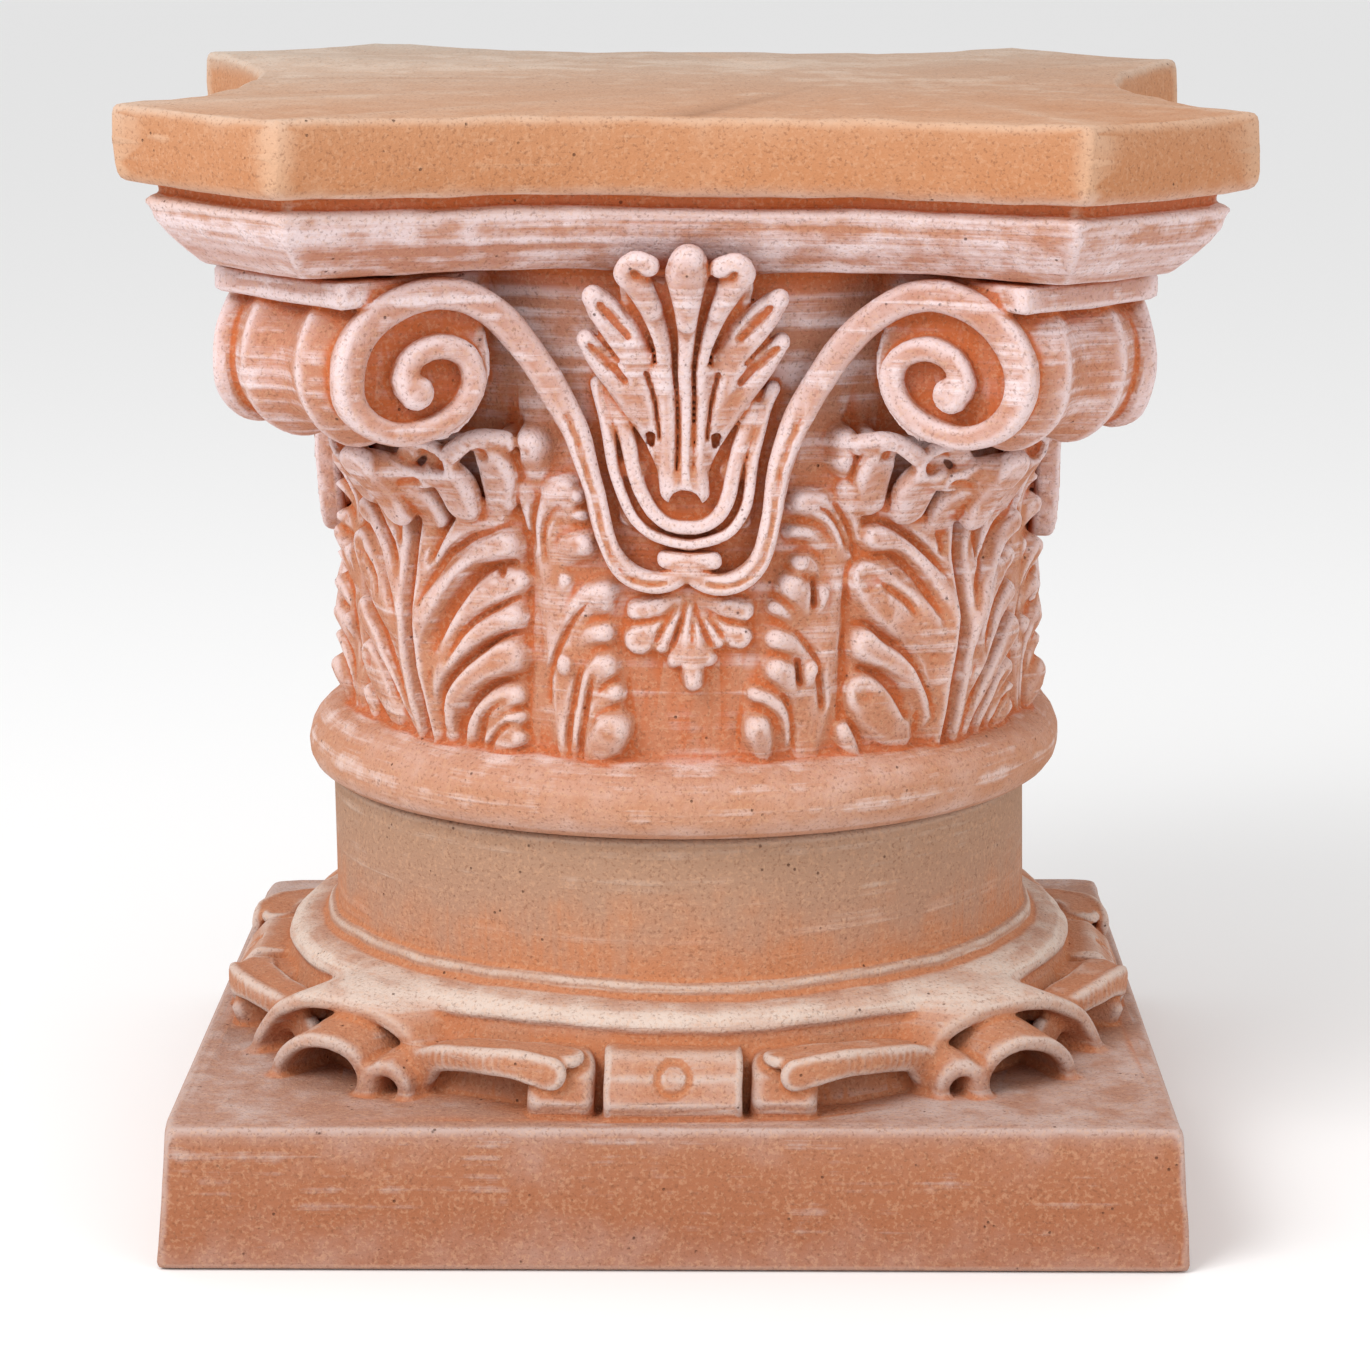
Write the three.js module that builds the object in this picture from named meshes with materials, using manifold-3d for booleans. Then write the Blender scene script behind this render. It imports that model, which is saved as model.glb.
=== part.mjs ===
// Terracotta Corinthian capital on its moulded base.
// Millimetres, +Z up. The origin is the middle of the underside, and the front faces -Y.
// Two castings: the capital (abacus, volutes, flowers, leaves and astragal in one piece) rests
// on the drum of the base (drum, torus, ribbon and plinth in one piece).

import * as THREE from 'three';
import { mergeVertices } from 'three/addons/utils/BufferGeometryUtils.js';
import Module from 'manifold-3d';

const wasm = await Module();
wasm.setup();

const DEG = Math.PI / 180;
const UP = new THREE.Vector3(0, 0, 1);
const QUARTERS = [0, 1, 2, 3];
const SIDES = [-1, 1];

// ---------------------------------------------------------------- driving dimensions

const PLINTH_HALF_TOP = 205;
const PLINTH_HALF_FOOT = 209;
const PLINTH_TOP = 59;
const PLINTH_CORNER = 4;

const DRUM_RADIUS = 152.4;
const DRUM_FOOT = 104;
const DRUM_TOP = 165.2;
const TORUS_RADIUS = 174;
const TORUS_FOOT_RADIUS = 186;

const CLASP_HALF_WIDTH = 28;
const ROLL_START = 31.5;
const ROLL_END = 59;
const ROLL_CREST = 85;
const DIP = { x: 106, y: -154 };
const RIBBON_THICKNESS = 5;

const SEAM_GAP = 0.3;
const CAPITAL_FOOT = DRUM_TOP + SEAM_GAP;
const ASTRAGAL_RADIUS = 165.3;
const ASTRAGAL_TOP = 197.5;
const BELL_RADIUS = 147;
const BELL_TOP_RADIUS = 160;
const BELL_FLARE_FROM = 270;

const ABACUS_HALF = 227;
const ABACUS_TOP = 464;
const HORN_HALF = 154;
const SIDE_DISH = 40;
const SLAB_FOOT = 433;
const CAVETTO_FOOT = 401;
const CAVETTO_INSET = 26;

const SCROLL_RADIUS = 34;
const SCROLL_OUT = 198;
const SCROLL_HALF_LENGTH = 50;
const SCROLL_HEIGHT = 364;
const SCROLL_SPLAY = 24.5 * DEG;
const EYE = { x: 103, z: 357 };
const SPIRAL_REACH = 37;
const SPIRAL_DECAY = 0.81;
const SPIRAL_TURNS = 1.5;

const LEAF_HALF_ANGLE = 20.5;
const LEAF_RISE = 9;
const LEAF_LIP_OUT = 178;
const LEAF_TOP = 330;

const ROUND_STEPS = 30;
const SIDE_STEPS = 5;

// ---------------------------------------------------------------- helpers

const point = (x, y, z) => new THREE.Vector3(x, y, z);

const mix = (a, b, t) => a + (b - a) * t;

function smooth(value) {
  const t = Math.min(1, Math.max(0, value));
  return t * t * (3 - 2 * t);
}

// Joins equal rings of points, one after the other, into a closed body with outward faces.
function loft(rings) {
  const count = rings[0].length;
  const points = rings.flat().map((corner) => corner.clone());
  const faces = [];
  for (let row = 0; row + 1 < rings.length; row += 1) {
    for (let k = 0; k < count; k += 1) {
      const a = row * count + k;
      const b = row * count + ((k + 1) % count);
      faces.push([a, b, b + count], [a, b + count, a + count]);
    }
  }
  const last = (rings.length - 1) * count;
  for (const [start, turned] of [[0, true], [last, false]]) {
    const small = count < 7;
    const hub = small ? start : points.length;
    if (!small) {
      const ring = points.slice(start, start + count);
      points.push(ring.reduce((sum, corner) => sum.add(corner), point(0, 0, 0)).divideScalar(count));
    }
    for (let k = small ? 1 : 0; k < (small ? count - 1 : count); k += 1) {
      const a = start + k;
      const b = start + ((k + 1) % count);
      faces.push(turned ? [hub, b, a] : [hub, a, b]);
    }
  }
  const volume = faces.reduce((sum, [a, b, c]) => (
    sum + points[a].dot(point(0, 0, 0).crossVectors(points[b], points[c]))
  ), 0);
  const outward = volume > 0 ? faces : faces.map(([a, b, c]) => [a, c, b]);
  const geometry = new THREE.BufferGeometry().setFromPoints(points);
  geometry.setIndex(outward.flat());
  return geometry;
}

function lathe(profile) {
  const outline = profile.map(([radius, height]) => new THREE.Vector2(radius, height));
  return new THREE.LatheGeometry(outline, ROUND_STEPS).rotateX(90 * DEG);
}

function solid(geometry) {
  const bare = geometry.clone();
  bare.deleteAttribute('normal');
  bare.deleteAttribute('uv');
  const merged = mergeVertices(bare, 1e-4);
  const corners = Array.from(merged.index.array);
  const kept = [];
  for (let k = 0; k < corners.length; k += 3) {
    const [a, b, c] = corners.slice(k, k + 3);
    if (a !== b && b !== c && c !== a) kept.push(a, b, c);
  }
  return new wasm.Manifold(new wasm.Mesh({
    numProp: 3,
    vertProperties: Float32Array.from(merged.attributes.position.array),
    triVerts: Uint32Array.from(kept),
  }));
}

// One casting: every form in the list joined into a single named mesh.
function casting(name, geometries, material) {
  const whole = geometries.map(solid).reduce((sum, form) => sum.add(form));
  const { vertProperties, triVerts } = whole.getMesh();
  const geometry = new THREE.BufferGeometry();
  geometry.setAttribute('position', new THREE.BufferAttribute(vertProperties, 3));
  geometry.setIndex(new THREE.BufferAttribute(triVerts, 1));
  geometry.computeVertexNormals();
  const mesh = new THREE.Mesh(geometry, material);
  mesh.name = name;
  return mesh;
}

// The same forms on all four faces, or on all four corners when `start` is an eighth of a turn.
function fourTimes(geometries, start = 0) {
  return QUARTERS.flatMap((quarter) => (
    geometries.map((form) => form.clone().rotateZ(start + quarter * 90 * DEG))
  ));
}

// A form and its mirror image. `build` gets -1 or +1 to multiply x by.
const bothSides = (build) => SIDES.flatMap((side) => build(side));

// ---------------------------------------------------------------- base

function plinth() {
  const layers = [
    [0, PLINTH_HALF_FOOT - 1],
    [2, PLINTH_HALF_FOOT],
    [PLINTH_TOP - 3, PLINTH_HALF_TOP],
    [PLINTH_TOP, PLINTH_HALF_TOP - 2],
  ];
  return loft(layers.map(([height, half]) => QUARTERS.flatMap((quarter) => (
    SIDES.map((side) => point(side * (half - PLINTH_CORNER), -half, height)
      .applyAxisAngle(UP, quarter * 90 * DEG))
  ))));
}

function drumAndTorus() {
  return lathe([
    [0, PLINTH_TOP - 9],
    [TORUS_FOOT_RADIUS, PLINTH_TOP - 9],
    [TORUS_FOOT_RADIUS - 3, 76],
    [TORUS_RADIUS + 1, 85],
    [TORUS_RADIUS - 2, 94],
    [164, 100],
    [155.5, DRUM_FOOT - 2],
    [DRUM_RADIUS, DRUM_FOOT],
    [DRUM_RADIUS, DRUM_TOP],
    [0, DRUM_TOP],
  ]);
}

// The rounded front of the clasp and of the ribbon's roll, cut square at both ends.
function ribbonFront(from, to, lean = 0) {
  const profile = [
    [-150, PLINTH_TOP - 3],
    [-199, PLINTH_TOP - 3],
    [-198, PLINTH_TOP + 8],
    [-193, ROLL_CREST - 8],
    [-185, ROLL_CREST - 0.5],
    [-150, ROLL_CREST - 4],
  ];
  return loft([from, to].map((across, end) => (
    profile.map(([out, height]) => point(across, out + end * lean, height))
  )));
}

// The ribbon as it leaves the roll: its lower edge lifts off the plinth and swings in to the dip.
function ribbonArch(side) {
  const stations = 3;
  const rings = [];
  for (let k = 0; k <= stations; k += 1) {
    const t = k / stations;
    const x = mix(ROLL_END - 1, DIP.x, t);
    const rimOut = mix(-193, DIP.y, Math.sin(t * 90 * DEG));
    const rimLift = PLINTH_TOP + 13 * Math.sin(t * 180 * DEG);
    const innerOut = -Math.sqrt(177 ** 2 - x ** 2);
    const crest = mix(ROLL_CREST, 68, smooth(t));
    rings.push([
      point(side * x, innerOut + 12, crest - RIBBON_THICKNESS - 4),
      point(side * x, rimOut + RIBBON_THICKNESS, rimLift),
      point(side * x, rimOut, rimLift + 1),
      point(side * x, mix(rimOut, innerOut, 0.45), mix(crest, rimLift + RIBBON_THICKNESS, t * 0.5) - 1),
      point(side * x, innerOut, crest),
      point(side * x, innerOut + 12, crest),
    ]);
  }
  return loft(rings);
}

// One standing fold of the ribbon: an arched strip from foot to foot, tied back to the torus.
function ribbonFold(fold, side, back) {
  const stations = 4;
  const rings = [];
  for (let k = 0; k <= stations; k += 1) {
    const angle = (k / stations) * 180 * DEG;
    const along = (1 - Math.cos(angle)) / 2;
    const lift = Math.sin(angle);
    const rimX = mix(fold.start.x, fold.end.x, along);
    const rimY = mix(fold.start.y, fold.end.y, along) - fold.bow * lift;
    const tieX = mix(fold.tieStart.x, fold.tieEnd.x, along);
    const tieY = mix(fold.tieStart.y, fold.tieEnd.y, along);
    const top = PLINTH_TOP + 1 + fold.height * lift;
    const shrink = 1 - RIBBON_THICKNESS / fold.height;
    const under = PLINTH_TOP - 2 + fold.height * lift * shrink;
    rings.push([
      point(side * rimX, back * rimY, under),
      point(side * rimX, back * rimY, top),
      point(side * tieX, back * tieY, top + 2),
      point(side * tieX, back * tieY, under),
    ]);
  }
  return loft(rings);
}

const OUTER_FOLD = {
  start: { x: 106, y: -153 },
  end: { x: 180, y: -98 },
  bow: 2,
  height: 30,
  tieStart: { x: 98, y: -142 },
  tieEnd: { x: 150, y: -90 },
};

const INNER_FOLD = {
  start: { x: 127, y: -156 },
  end: { x: 164, y: -138 },
  bow: 4,
  height: 18,
  tieStart: { x: 116, y: -140 },
  tieEnd: { x: 140, y: -116 },
};

function baseForms() {
  const face = [ribbonFront(-CLASP_HALF_WIDTH, CLASP_HALF_WIDTH)];
  for (const side of SIDES) {
    face.push(ribbonFront(side * ROLL_START, side * ROLL_END, 4));
    face.push(ribbonArch(side));
  }
  const corners = SIDES.flatMap((back) => bothSides((side) => (
    [OUTER_FOLD, INNER_FOLD].map((fold) => ribbonFold(fold, side, back))
  )));
  return [plinth(), drumAndTorus(), ...fourTimes(face), ...corners];
}

// ---------------------------------------------------------------- capital

function bellRadius(height) {
  const flare = Math.max(0, (height - BELL_FLARE_FROM) / (CAVETTO_FOOT - BELL_FLARE_FROM));
  return BELL_RADIUS + (BELL_TOP_RADIUS - BELL_RADIUS) * flare ** 1.5;
}

function astragalAndBell() {
  const ring = [[152, 0], [161.5, 4], [ASTRAGAL_RADIUS, 14], [162.5, 25], [157, 30]];
  const profile = ring.map(([radius, rise]) => [radius, CAPITAL_FOOT + rise]);
  for (const height of [ASTRAGAL_TOP, BELL_FLARE_FROM, 330, 370, CAVETTO_FOOT + 2]) {
    profile.push([bellRadius(height), height]);
  }
  return lathe([[0, CAPITAL_FOOT], ...profile, [0, CAVETTO_FOOT + 2]]);
}

// The four-sided plan with hollow sides and cut horns, `inset` millimetres inside the slab's edge.
function abacusOutline(inset, height) {
  const reach = ABACUS_HALF - inset * 1.1;
  const corner = HORN_HALF - inset * 0.3;
  const outline = [];
  for (const quarter of QUARTERS) {
    for (let k = 0; k <= SIDE_STEPS; k += 1) {
      const across = (2 * k) / SIDE_STEPS - 1;
      const dish = (SIDE_DISH - inset * 0.1) * (1 - across ** 2);
      outline.push(point(across * corner, dish - reach, height).applyAxisAngle(UP, quarter * 90 * DEG));
    }
  }
  return outline;
}

function abacus() {
  const layers = [
    [CAVETTO_INSET, CAVETTO_FOOT],
    [CAVETTO_INSET - 2, CAVETTO_FOOT + 5],
    [CAVETTO_INSET - 8, CAVETTO_FOOT + 14],
    [9.5, CAVETTO_FOOT + 22],
    [10, CAVETTO_FOOT + 26],
    [16, CAVETTO_FOOT + 27.5],
    [7, SLAB_FOOT],
    [0.6, SLAB_FOOT + 6],
    [0.6, ABACUS_TOP - 3],
    [4, ABACUS_TOP],
  ];
  return loft(layers.map(([inset, height]) => abacusOutline(inset, height)));
}

// The ribbed scroll under a horn: three ribs wrap round it from one spiral face to the other.
// It is built facing -Y and turned to its corner afterwards.
function cornerScroll() {
  const ribs = 3;
  const stations = ribs * 2;
  const around = 8;
  const rings = [];
  for (let k = 0; k <= stations; k += 1) {
    const along = (2 * k) / stations - 1;
    const radius = SCROLL_RADIUS + (k % 2 === 1 ? 3 : -2);
    const splay = SCROLL_SPLAY * along;
    const ring = [];
    for (let j = 0; j < around; j += 1) {
      const turn = ((j + 0.5) / around) * 360 * DEG;
      const out = radius * Math.cos(turn);
      ring.push(point(
        SCROLL_HALF_LENGTH * along - out * Math.sin(splay),
        -SCROLL_OUT - out * Math.cos(splay),
        SCROLL_HEIGHT + radius * Math.sin(turn),
      ));
    }
    rings.push(ring);
  }
  return loft(rings);
}

// The small cushion between the scroll and the horn of the abacus.
function hornCushion() {
  const half = 40;
  const profile = [[-150, 393], [-236, 393], [-239, 397], [-236, CAVETTO_FOOT + 3], [-150, CAVETTO_FOOT + 3]];
  return loft([-half, half].map((across) => profile.map(([out, height]) => point(across, out, height))));
}

// How far out the front of the carving stands at a place on a face.
function faceDepth(x, z) {
  const bell = Math.sqrt(Math.max(0, (bellRadius(z) + LEAF_RISE) ** 2 - x ** 2));
  const dished = 158 + 37 * (x / 143) ** 2;
  return mix(bell, dished, smooth((z - 270) / 70));
}

// A flat strip that follows a path across a face, `thick` deep and `half(t)` wide either side.
function faceStrip(path, half, thick, side = 1, lift = 0) {
  const rings = path.map(([x, z], k) => {
    const before = path[Math.max(0, k - 1)];
    const after = path[Math.min(path.length - 1, k + 1)];
    const length = Math.hypot(after[0] - before[0], after[1] - before[1]);
    const across = [-(after[1] - before[1]) / length, (after[0] - before[0]) / length];
    const width = half(k / (path.length - 1));
    return [[-1, -thick], [-1, lift], [1, lift], [1, -thick]].map(([edge, rise]) => {
      const px = x + across[0] * edge * width;
      const pz = z + across[1] * edge * width;
      return point(side * px, -faceDepth(px, pz) - rise, pz);
    });
  });
  return loft(rings);
}

// The helix: its stem climbs from under the flower, passes over the scroll and winds in to the eye.
function helixPath() {
  const stem = new THREE.CatmullRomCurve3([
    point(6, 0, 280),
    point(20, 0, 275),
    point(38, 0, 301),
    point(49, 0, 334),
    point(63, 0, 363),
    point(80, 0, 386),
  ]);
  const path = stem.getPoints(4).map(({ x, z }) => [x, z]);
  const steps = 8;
  for (let k = 0; k <= steps; k += 1) {
    const turns = SPIRAL_TURNS * (k / steps);
    const reach = SPIRAL_REACH * Math.exp(-SPIRAL_DECAY * turns);
    const angle = turns * 360 * DEG;
    path.push([EYE.x + reach * Math.sin(angle), EYE.z + reach * Math.cos(angle)]);
  }
  return path;
}

function helix(side) {
  return faceStrip(helixPath(), (t) => mix(6.5, 3.5, t), 16, side);
}

// The flower's spine, from its round nose up to the bulb that stands over the abacus.
function flowerSpine() {
  const stations = [
    { z: 309, half: 7, out: 166 },
    { z: 320, half: 9, out: 172 },
    { z: 360, half: 6, out: 176 },
    { z: 406, half: 11, out: 192 },
    { z: 419, half: 7, out: 187 },
  ];
  return loft(stations.map(({ z, half, out }) => [
    point(-half, -150, z),
    point(-half * 0.8, -out + 2, z),
    point(half * 0.8, -out + 2, z),
    point(half, -150, z),
  ]));
}

// A petal or blade: a pointed strip with a ridge, from its root to its tip on a face.
function petal(side, root, tip, width, out) {
  const dx = tip[0] - root[0];
  const dz = tip[1] - root[1];
  const length = Math.hypot(dx, dz);
  const across = [-dz / length, dx / length];
  return loft([[0, 0.4], [0.5, 1], [1, 0.35]].map(([t, share]) => {
    const x = root[0] + dx * t;
    const z = root[1] + dz * t;
    const half = width * share;
    const front = mix(out[0], out[1], t);
    return [[-1, -12], [0, 0], [1, -12]].map(([edge, rise]) => (
      point(side * (x + across[0] * half * edge), -front - rise, z + across[1] * half * edge)
    ));
  }));
}

function flower() {
  const petals = bothSides((side) => [
    petal(side, [2, 365], [20, 413], 6.5, [178, 190]),
    petal(side, [3, 350], [38, 390], 8, [176, 184]),
  ]);
  const hoop = [[-30, 356], [-22, 322], [-8, 296], [8, 296], [22, 322], [30, 356]];
  return [flowerSpine(), ...petals, faceStrip(hoop, () => 4, 16, 1, 1)];
}

function palmette() {
  const root = [0, 279];
  const lobes = bothSides((side) => [
    petal(side, root, [24, 252], 8, [160, 155]),
  ]);
  return [...lobes, petal(1, root, [0, 229], 6, [161, 153])];
}

// A leaf lobe lying on the bell. Angles are in degrees either side of the leaf's midrib.
function leafLobe(side, root, tip, width, rise) {
  const shares = [[0, 0.5, 0.7], [0.7, 1, 1], [1, 0.5, 0.6]];
  return loft(shares.map(([t, broad, high]) => {
    const angle = mix(root[0], tip[0], t);
    const height = mix(root[1], tip[1], t ** 0.85);
    const slope = Math.atan2(tip[1] - root[1], (tip[0] - root[0]) * DEG * BELL_RADIUS);
    return [[-1, -3], [0.2, rise * high], [1, -3]].map(([edge, lift]) => {
      const along = angle - (edge * broad * width * Math.sin(slope)) / (DEG * BELL_RADIUS);
      const z = height + edge * broad * width * Math.cos(slope);
      const radius = bellRadius(z) + lift;
      const turn = side * along * DEG;
      return point(radius * Math.sin(turn), -radius * Math.cos(turn), z);
    });
  }));
}

// The large leaf under each horn: a midrib, four pairs of lobes and a lip that curls outwards.
function cornerLeaf() {
  const lobeCount = 4;
  const lobes = bothSides((side) => {
    const row = [];
    for (let k = 0; k < lobeCount; k += 1) {
      const t = k / (lobeCount - 1);
      const tip = [LEAF_HALF_ANGLE + 1.5 * Math.sin(t * 180 * DEG), mix(214, 301, t)];
      row.push(leafLobe(side, [2.5, tip[1] - mix(8, 30, t)], tip, 10, LEAF_RISE));
    }
    return row;
  });
  const midrib = loft([[198, 6], [260, 5], [320, 9]].map(([z, half]) => {
    const surface = bellRadius(z);
    return [
      point(-half, -surface + 8, z),
      point(-half * 0.5, -surface - LEAF_RISE, z),
      point(half * 0.5, -surface - LEAF_RISE, z),
      point(half, -surface + 8, z),
    ];
  }));
  const lip = loft([[-44, 0.35], [-24, 0.85], [0, 1], [24, 0.85], [44, 0.35]].map(([x, share]) => {
    const surface = Math.sqrt(bellRadius(LEAF_TOP) ** 2 - x ** 2);
    const out = mix(surface + 4, LEAF_LIP_OUT, share);
    return [
      point(x, -surface + 10, LEAF_TOP - 30),
      point(x, -mix(surface, out, 0.6), LEAF_TOP - 22),
      point(x, -out, LEAF_TOP - 9),
      point(x, -out + 2, LEAF_TOP - 2),
      point(x, -surface + 10, LEAF_TOP),
    ];
  }));
  return [...lobes, midrib, lip];
}

// The narrow leaf on each side of a face's middle, half hidden by the corner leaf.
function innerLeaf() {
  const lobeCount = 3;
  return bothSides((side) => {
    const row = [];
    for (let k = 0; k < lobeCount; k += 1) {
      const t = k / (lobeCount - 1);
      const tip = [mix(35.8, 30, t), mix(228, 308, t)];
      row.push(leafLobe(side, [27, tip[1] - 20], tip, 10, LEAF_RISE - 2));
    }
    return row;
  });
}

function capitalForms() {
  const face = [...flower(), ...palmette(), ...bothSides((side) => [helix(side)])];
  const corner = [cornerScroll(), hornCushion(), ...cornerLeaf(), ...innerLeaf()];
  return [astragalAndBell(), abacus(), ...fourTimes(face), ...fourTimes(corner, 45 * DEG)];
}

// ---------------------------------------------------------------- the object

const limewashed = new THREE.MeshStandardMaterial({ color: 0xd9a17f, roughness: 0.9, metalness: 0 });
const plain = new THREE.MeshStandardMaterial({ color: 0xcf9873, roughness: 0.92, metalness: 0 });

const object = new THREE.Group();
object.add(casting('capital', capitalForms(), limewashed));
object.add(casting('base', baseForms(), plain));

export default object;
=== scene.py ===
# %% [markdown]
# # A terracotta Corinthian capital on its ribboned base
#
# The real thing is two castings of soft red clay: a capital, pressed in a mould and trimmed by hand,
# and the drum and plinth that it stands on. It was brushed with an orange slip and then with thin
# lime wash, so every hollow is deep orange and every raised edge is pale and slightly lilac.
#
# Everything here is measured in millimetres while it is modelled, and turned into metres at the end.
# x runs to the right, `out` runs from the axis towards the viewer, which is minus y, and z runs up.

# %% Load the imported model
import math

import bmesh
import bpy
import mathutils
import numpy as np
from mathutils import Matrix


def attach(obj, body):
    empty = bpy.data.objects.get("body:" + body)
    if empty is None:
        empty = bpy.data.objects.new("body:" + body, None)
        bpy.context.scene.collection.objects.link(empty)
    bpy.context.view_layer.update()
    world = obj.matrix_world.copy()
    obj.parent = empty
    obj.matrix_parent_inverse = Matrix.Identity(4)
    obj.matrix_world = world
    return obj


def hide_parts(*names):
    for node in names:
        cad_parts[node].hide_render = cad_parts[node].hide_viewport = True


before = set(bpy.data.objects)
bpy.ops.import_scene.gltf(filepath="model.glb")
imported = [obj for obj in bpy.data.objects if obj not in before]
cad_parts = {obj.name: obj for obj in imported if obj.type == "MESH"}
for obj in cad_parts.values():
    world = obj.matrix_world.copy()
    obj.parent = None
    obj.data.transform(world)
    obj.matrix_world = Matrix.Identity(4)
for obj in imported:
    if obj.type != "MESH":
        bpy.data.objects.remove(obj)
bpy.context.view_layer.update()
MM = 0.001

# %% [markdown]
# ## Clay
#
# Carved clay has no corners that a lathe or a box would give: every roll of clay runs softly into
# the next. Subdivided polygons would have to be laid out by hand around each lobe, so the capital
# is modelled as a block of clay instead. A lattice of points holds how far each point is from the
# surface, negative inside. Rolls of clay are pressed on or cut away, and the surface is skinned last.

# %% A block of clay
def smooth_join(a, b, reach):
    """The nearer of two surfaces, with a fillet about `reach` wide where they meet."""
    if reach <= 0:
        return np.minimum(a, b)
    share = np.clip(0.5 + 0.5 * (b - a) / reach, 0, 1)
    return b + (a - b) * share - reach * share * (1 - share)


class Clay:
    """A lattice of points over a plan (x, out) and a row of heights, with the gap to the surface."""

    def __init__(self, x, out, heights):
        self.x = x.astype(np.float32)
        self.out = out.astype(np.float32)
        self.z = heights.astype(np.float32)
        self.gap = np.full(x.shape + heights.shape, 60, np.float32)

    def window(self, low, high):
        """The part of the lattice between two corners, and its coordinates."""
        plan = (self.x >= low[0]) & (self.x <= high[0]) & (self.out >= low[1]) & (self.out <= high[1])
        rows = np.flatnonzero(plan.any(1))
        columns = np.flatnonzero(plan.any(0))
        levels = np.searchsorted(self.z, (low[2], high[2]))
        if not len(rows) or levels[0] == levels[1]:
            return None
        part = (slice(rows[0], rows[-1] + 1), slice(columns[0], columns[-1] + 1), slice(*levels))
        x = self.x[part[:2]][..., None]
        out = self.out[part[:2]][..., None]
        return part, x, out, self.z[part[2]]

    def add(self, part, shape, reach=0):
        self.gap[part] = smooth_join(self.gap[part], shape, reach)

    def cut(self, part, shape, reach=0):
        self.gap[part] = -smooth_join(-self.gap[part], shape, reach)


def spline(points, step=3.0):
    """A smooth run of points through the given ones, about `step` apart in their first columns."""
    p = np.asarray(points, float)
    span = min(3, p.shape[1] - 1)
    ends = np.vstack([2 * p[0] - p[1], p, 2 * p[-1] - p[-2]])
    run = []
    for a, b, c, d in zip(ends, ends[1:], ends[2:], ends[3:]):
        count = max(1, int(np.ceil(np.linalg.norm((c - b)[:span]) / step)))
        t = np.arange(count)[:, None] / count
        bend = (2 * a - 5 * b + 4 * c - d) * t ** 2 + (3 * b - a - 3 * c + d) * t ** 3
        run.append(0.5 * (2 * b + (c - a) * t + bend))
    return np.vstack(run + [p[-1:]])


def roll(clay, path, facing, reach=2.0, cut=False, soft=0.6):
    """Presses on, or cuts away, a roll of clay. Each row of `path` is x, out, z, half width and
    half thickness; `facing` gives the direction that the roll's flat side faces at a point."""
    margin = path[:, 3:5].max() + reach + 3
    room = clay.window(path[:, :3].min(0) - margin, path[:, :3].max(0) + margin)
    if room is None:
        return
    whole = room[0]
    shape = np.full(clay.gap[whole].shape, 60, np.float32)
    for a, b in zip(path, path[1:]):
        margin = max(a[3:5].max(), b[3:5].max()) + reach + 2
        near = clay.window(np.minimum(a, b)[:3] - margin, np.maximum(a, b)[:3] + margin)
        if near is None:
            continue
        part, x, out, z = near
        along = (b - a)[:3].astype(np.float32)
        length = float(along @ along) + 1e-6
        px, po, pz = x - np.float32(a[0]), out - np.float32(a[1]), z - np.float32(a[2])
        t = np.clip((px * along[0] + po * along[1] + pz * along[2]) / length, 0, 1)
        px, po, pz = px - along[0] * t, po - along[1] * t, pz - along[2] * t
        normal = np.asarray(facing(a[:3]), np.float32)
        deep = px * normal[0] + po * normal[1] + pz * normal[2]
        wide = np.sqrt(np.maximum(px * px + po * po + pz * pz - deep * deep, 0))
        half_wide = np.float32(a[3]) + np.float32(b[3] - a[3]) * t
        half_deep = np.float32(a[4]) + np.float32(b[4] - a[4]) * t
        edge = np.float32(soft) * np.minimum(half_wide, half_deep)
        over_wide = np.maximum(wide - half_wide + edge, 0)
        over_deep = np.maximum(np.abs(deep) - half_deep + edge, 0)
        inner = np.minimum(np.maximum(wide - half_wide, np.abs(deep) - half_deep) + edge, 0)
        this = np.hypot(over_wide, over_deep) + inner - edge
        local = tuple(slice(s.start - w.start, s.stop - w.start) for s, w in zip(part, whole))
        np.minimum(shape[local], this, out=shape[local])
    if cut:
        clay.cut(whole, shape, reach)
    else:
        clay.add(whole, shape, reach)


def outline_gap(s, z, outline):
    """Distance from points (s, z) to a closed outline, negative inside it."""
    best = np.full(s.shape, 1e9)
    inside = np.zeros(s.shape, bool)
    closed = list(outline) + [outline[0]]
    for (s0, z0), (s1, z1) in zip(closed, closed[1:]):
        ds, dz = s1 - s0, z1 - z0
        t = np.clip(((s - s0) * ds + (z - z0) * dz) / (ds * ds + dz * dz + 1e-9), 0, 1)
        best = np.minimum(best, (s - s0 - ds * t) ** 2 + (z - z0 - dz * t) ** 2)
        crosses = ((z0 <= z) != (z1 <= z)) & (s < s0 + (z - z0) * ds / (dz if dz else 1e-9))
        inside ^= crosses
    return np.where(inside, -1, 1) * np.sqrt(best)


def sweep(clay, plan, outline, reach=0):
    """Adds an outline drawn in (plan value, height), swept round wherever `plan` has that value."""
    step = 0.5
    grid = np.arange(plan.min() - step, plan.max() + 2 * step, step)
    table = outline_gap(grid[:, None] + 0 * clay.z, clay.z + 0 * grid[:, None], outline)
    table = table.astype(np.float32)
    place = (plan - grid[0]) / step
    low = place.astype(int)
    share = (place - low)[..., None].astype(np.float32)
    everywhere = (slice(None),) * 3
    clay.add(everywhere, table[low] * (1 - share) + table[low + 1] * share, reach)


# %% [markdown]
# ## Skin
#
# The surface passes between lattice points of opposite sign. Each lattice cell that it crosses gets
# one vertex, at the middle of the crossings on the cell's twelve edges, and each crossed lattice edge
# gets the quad between the four cells round it.

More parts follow.
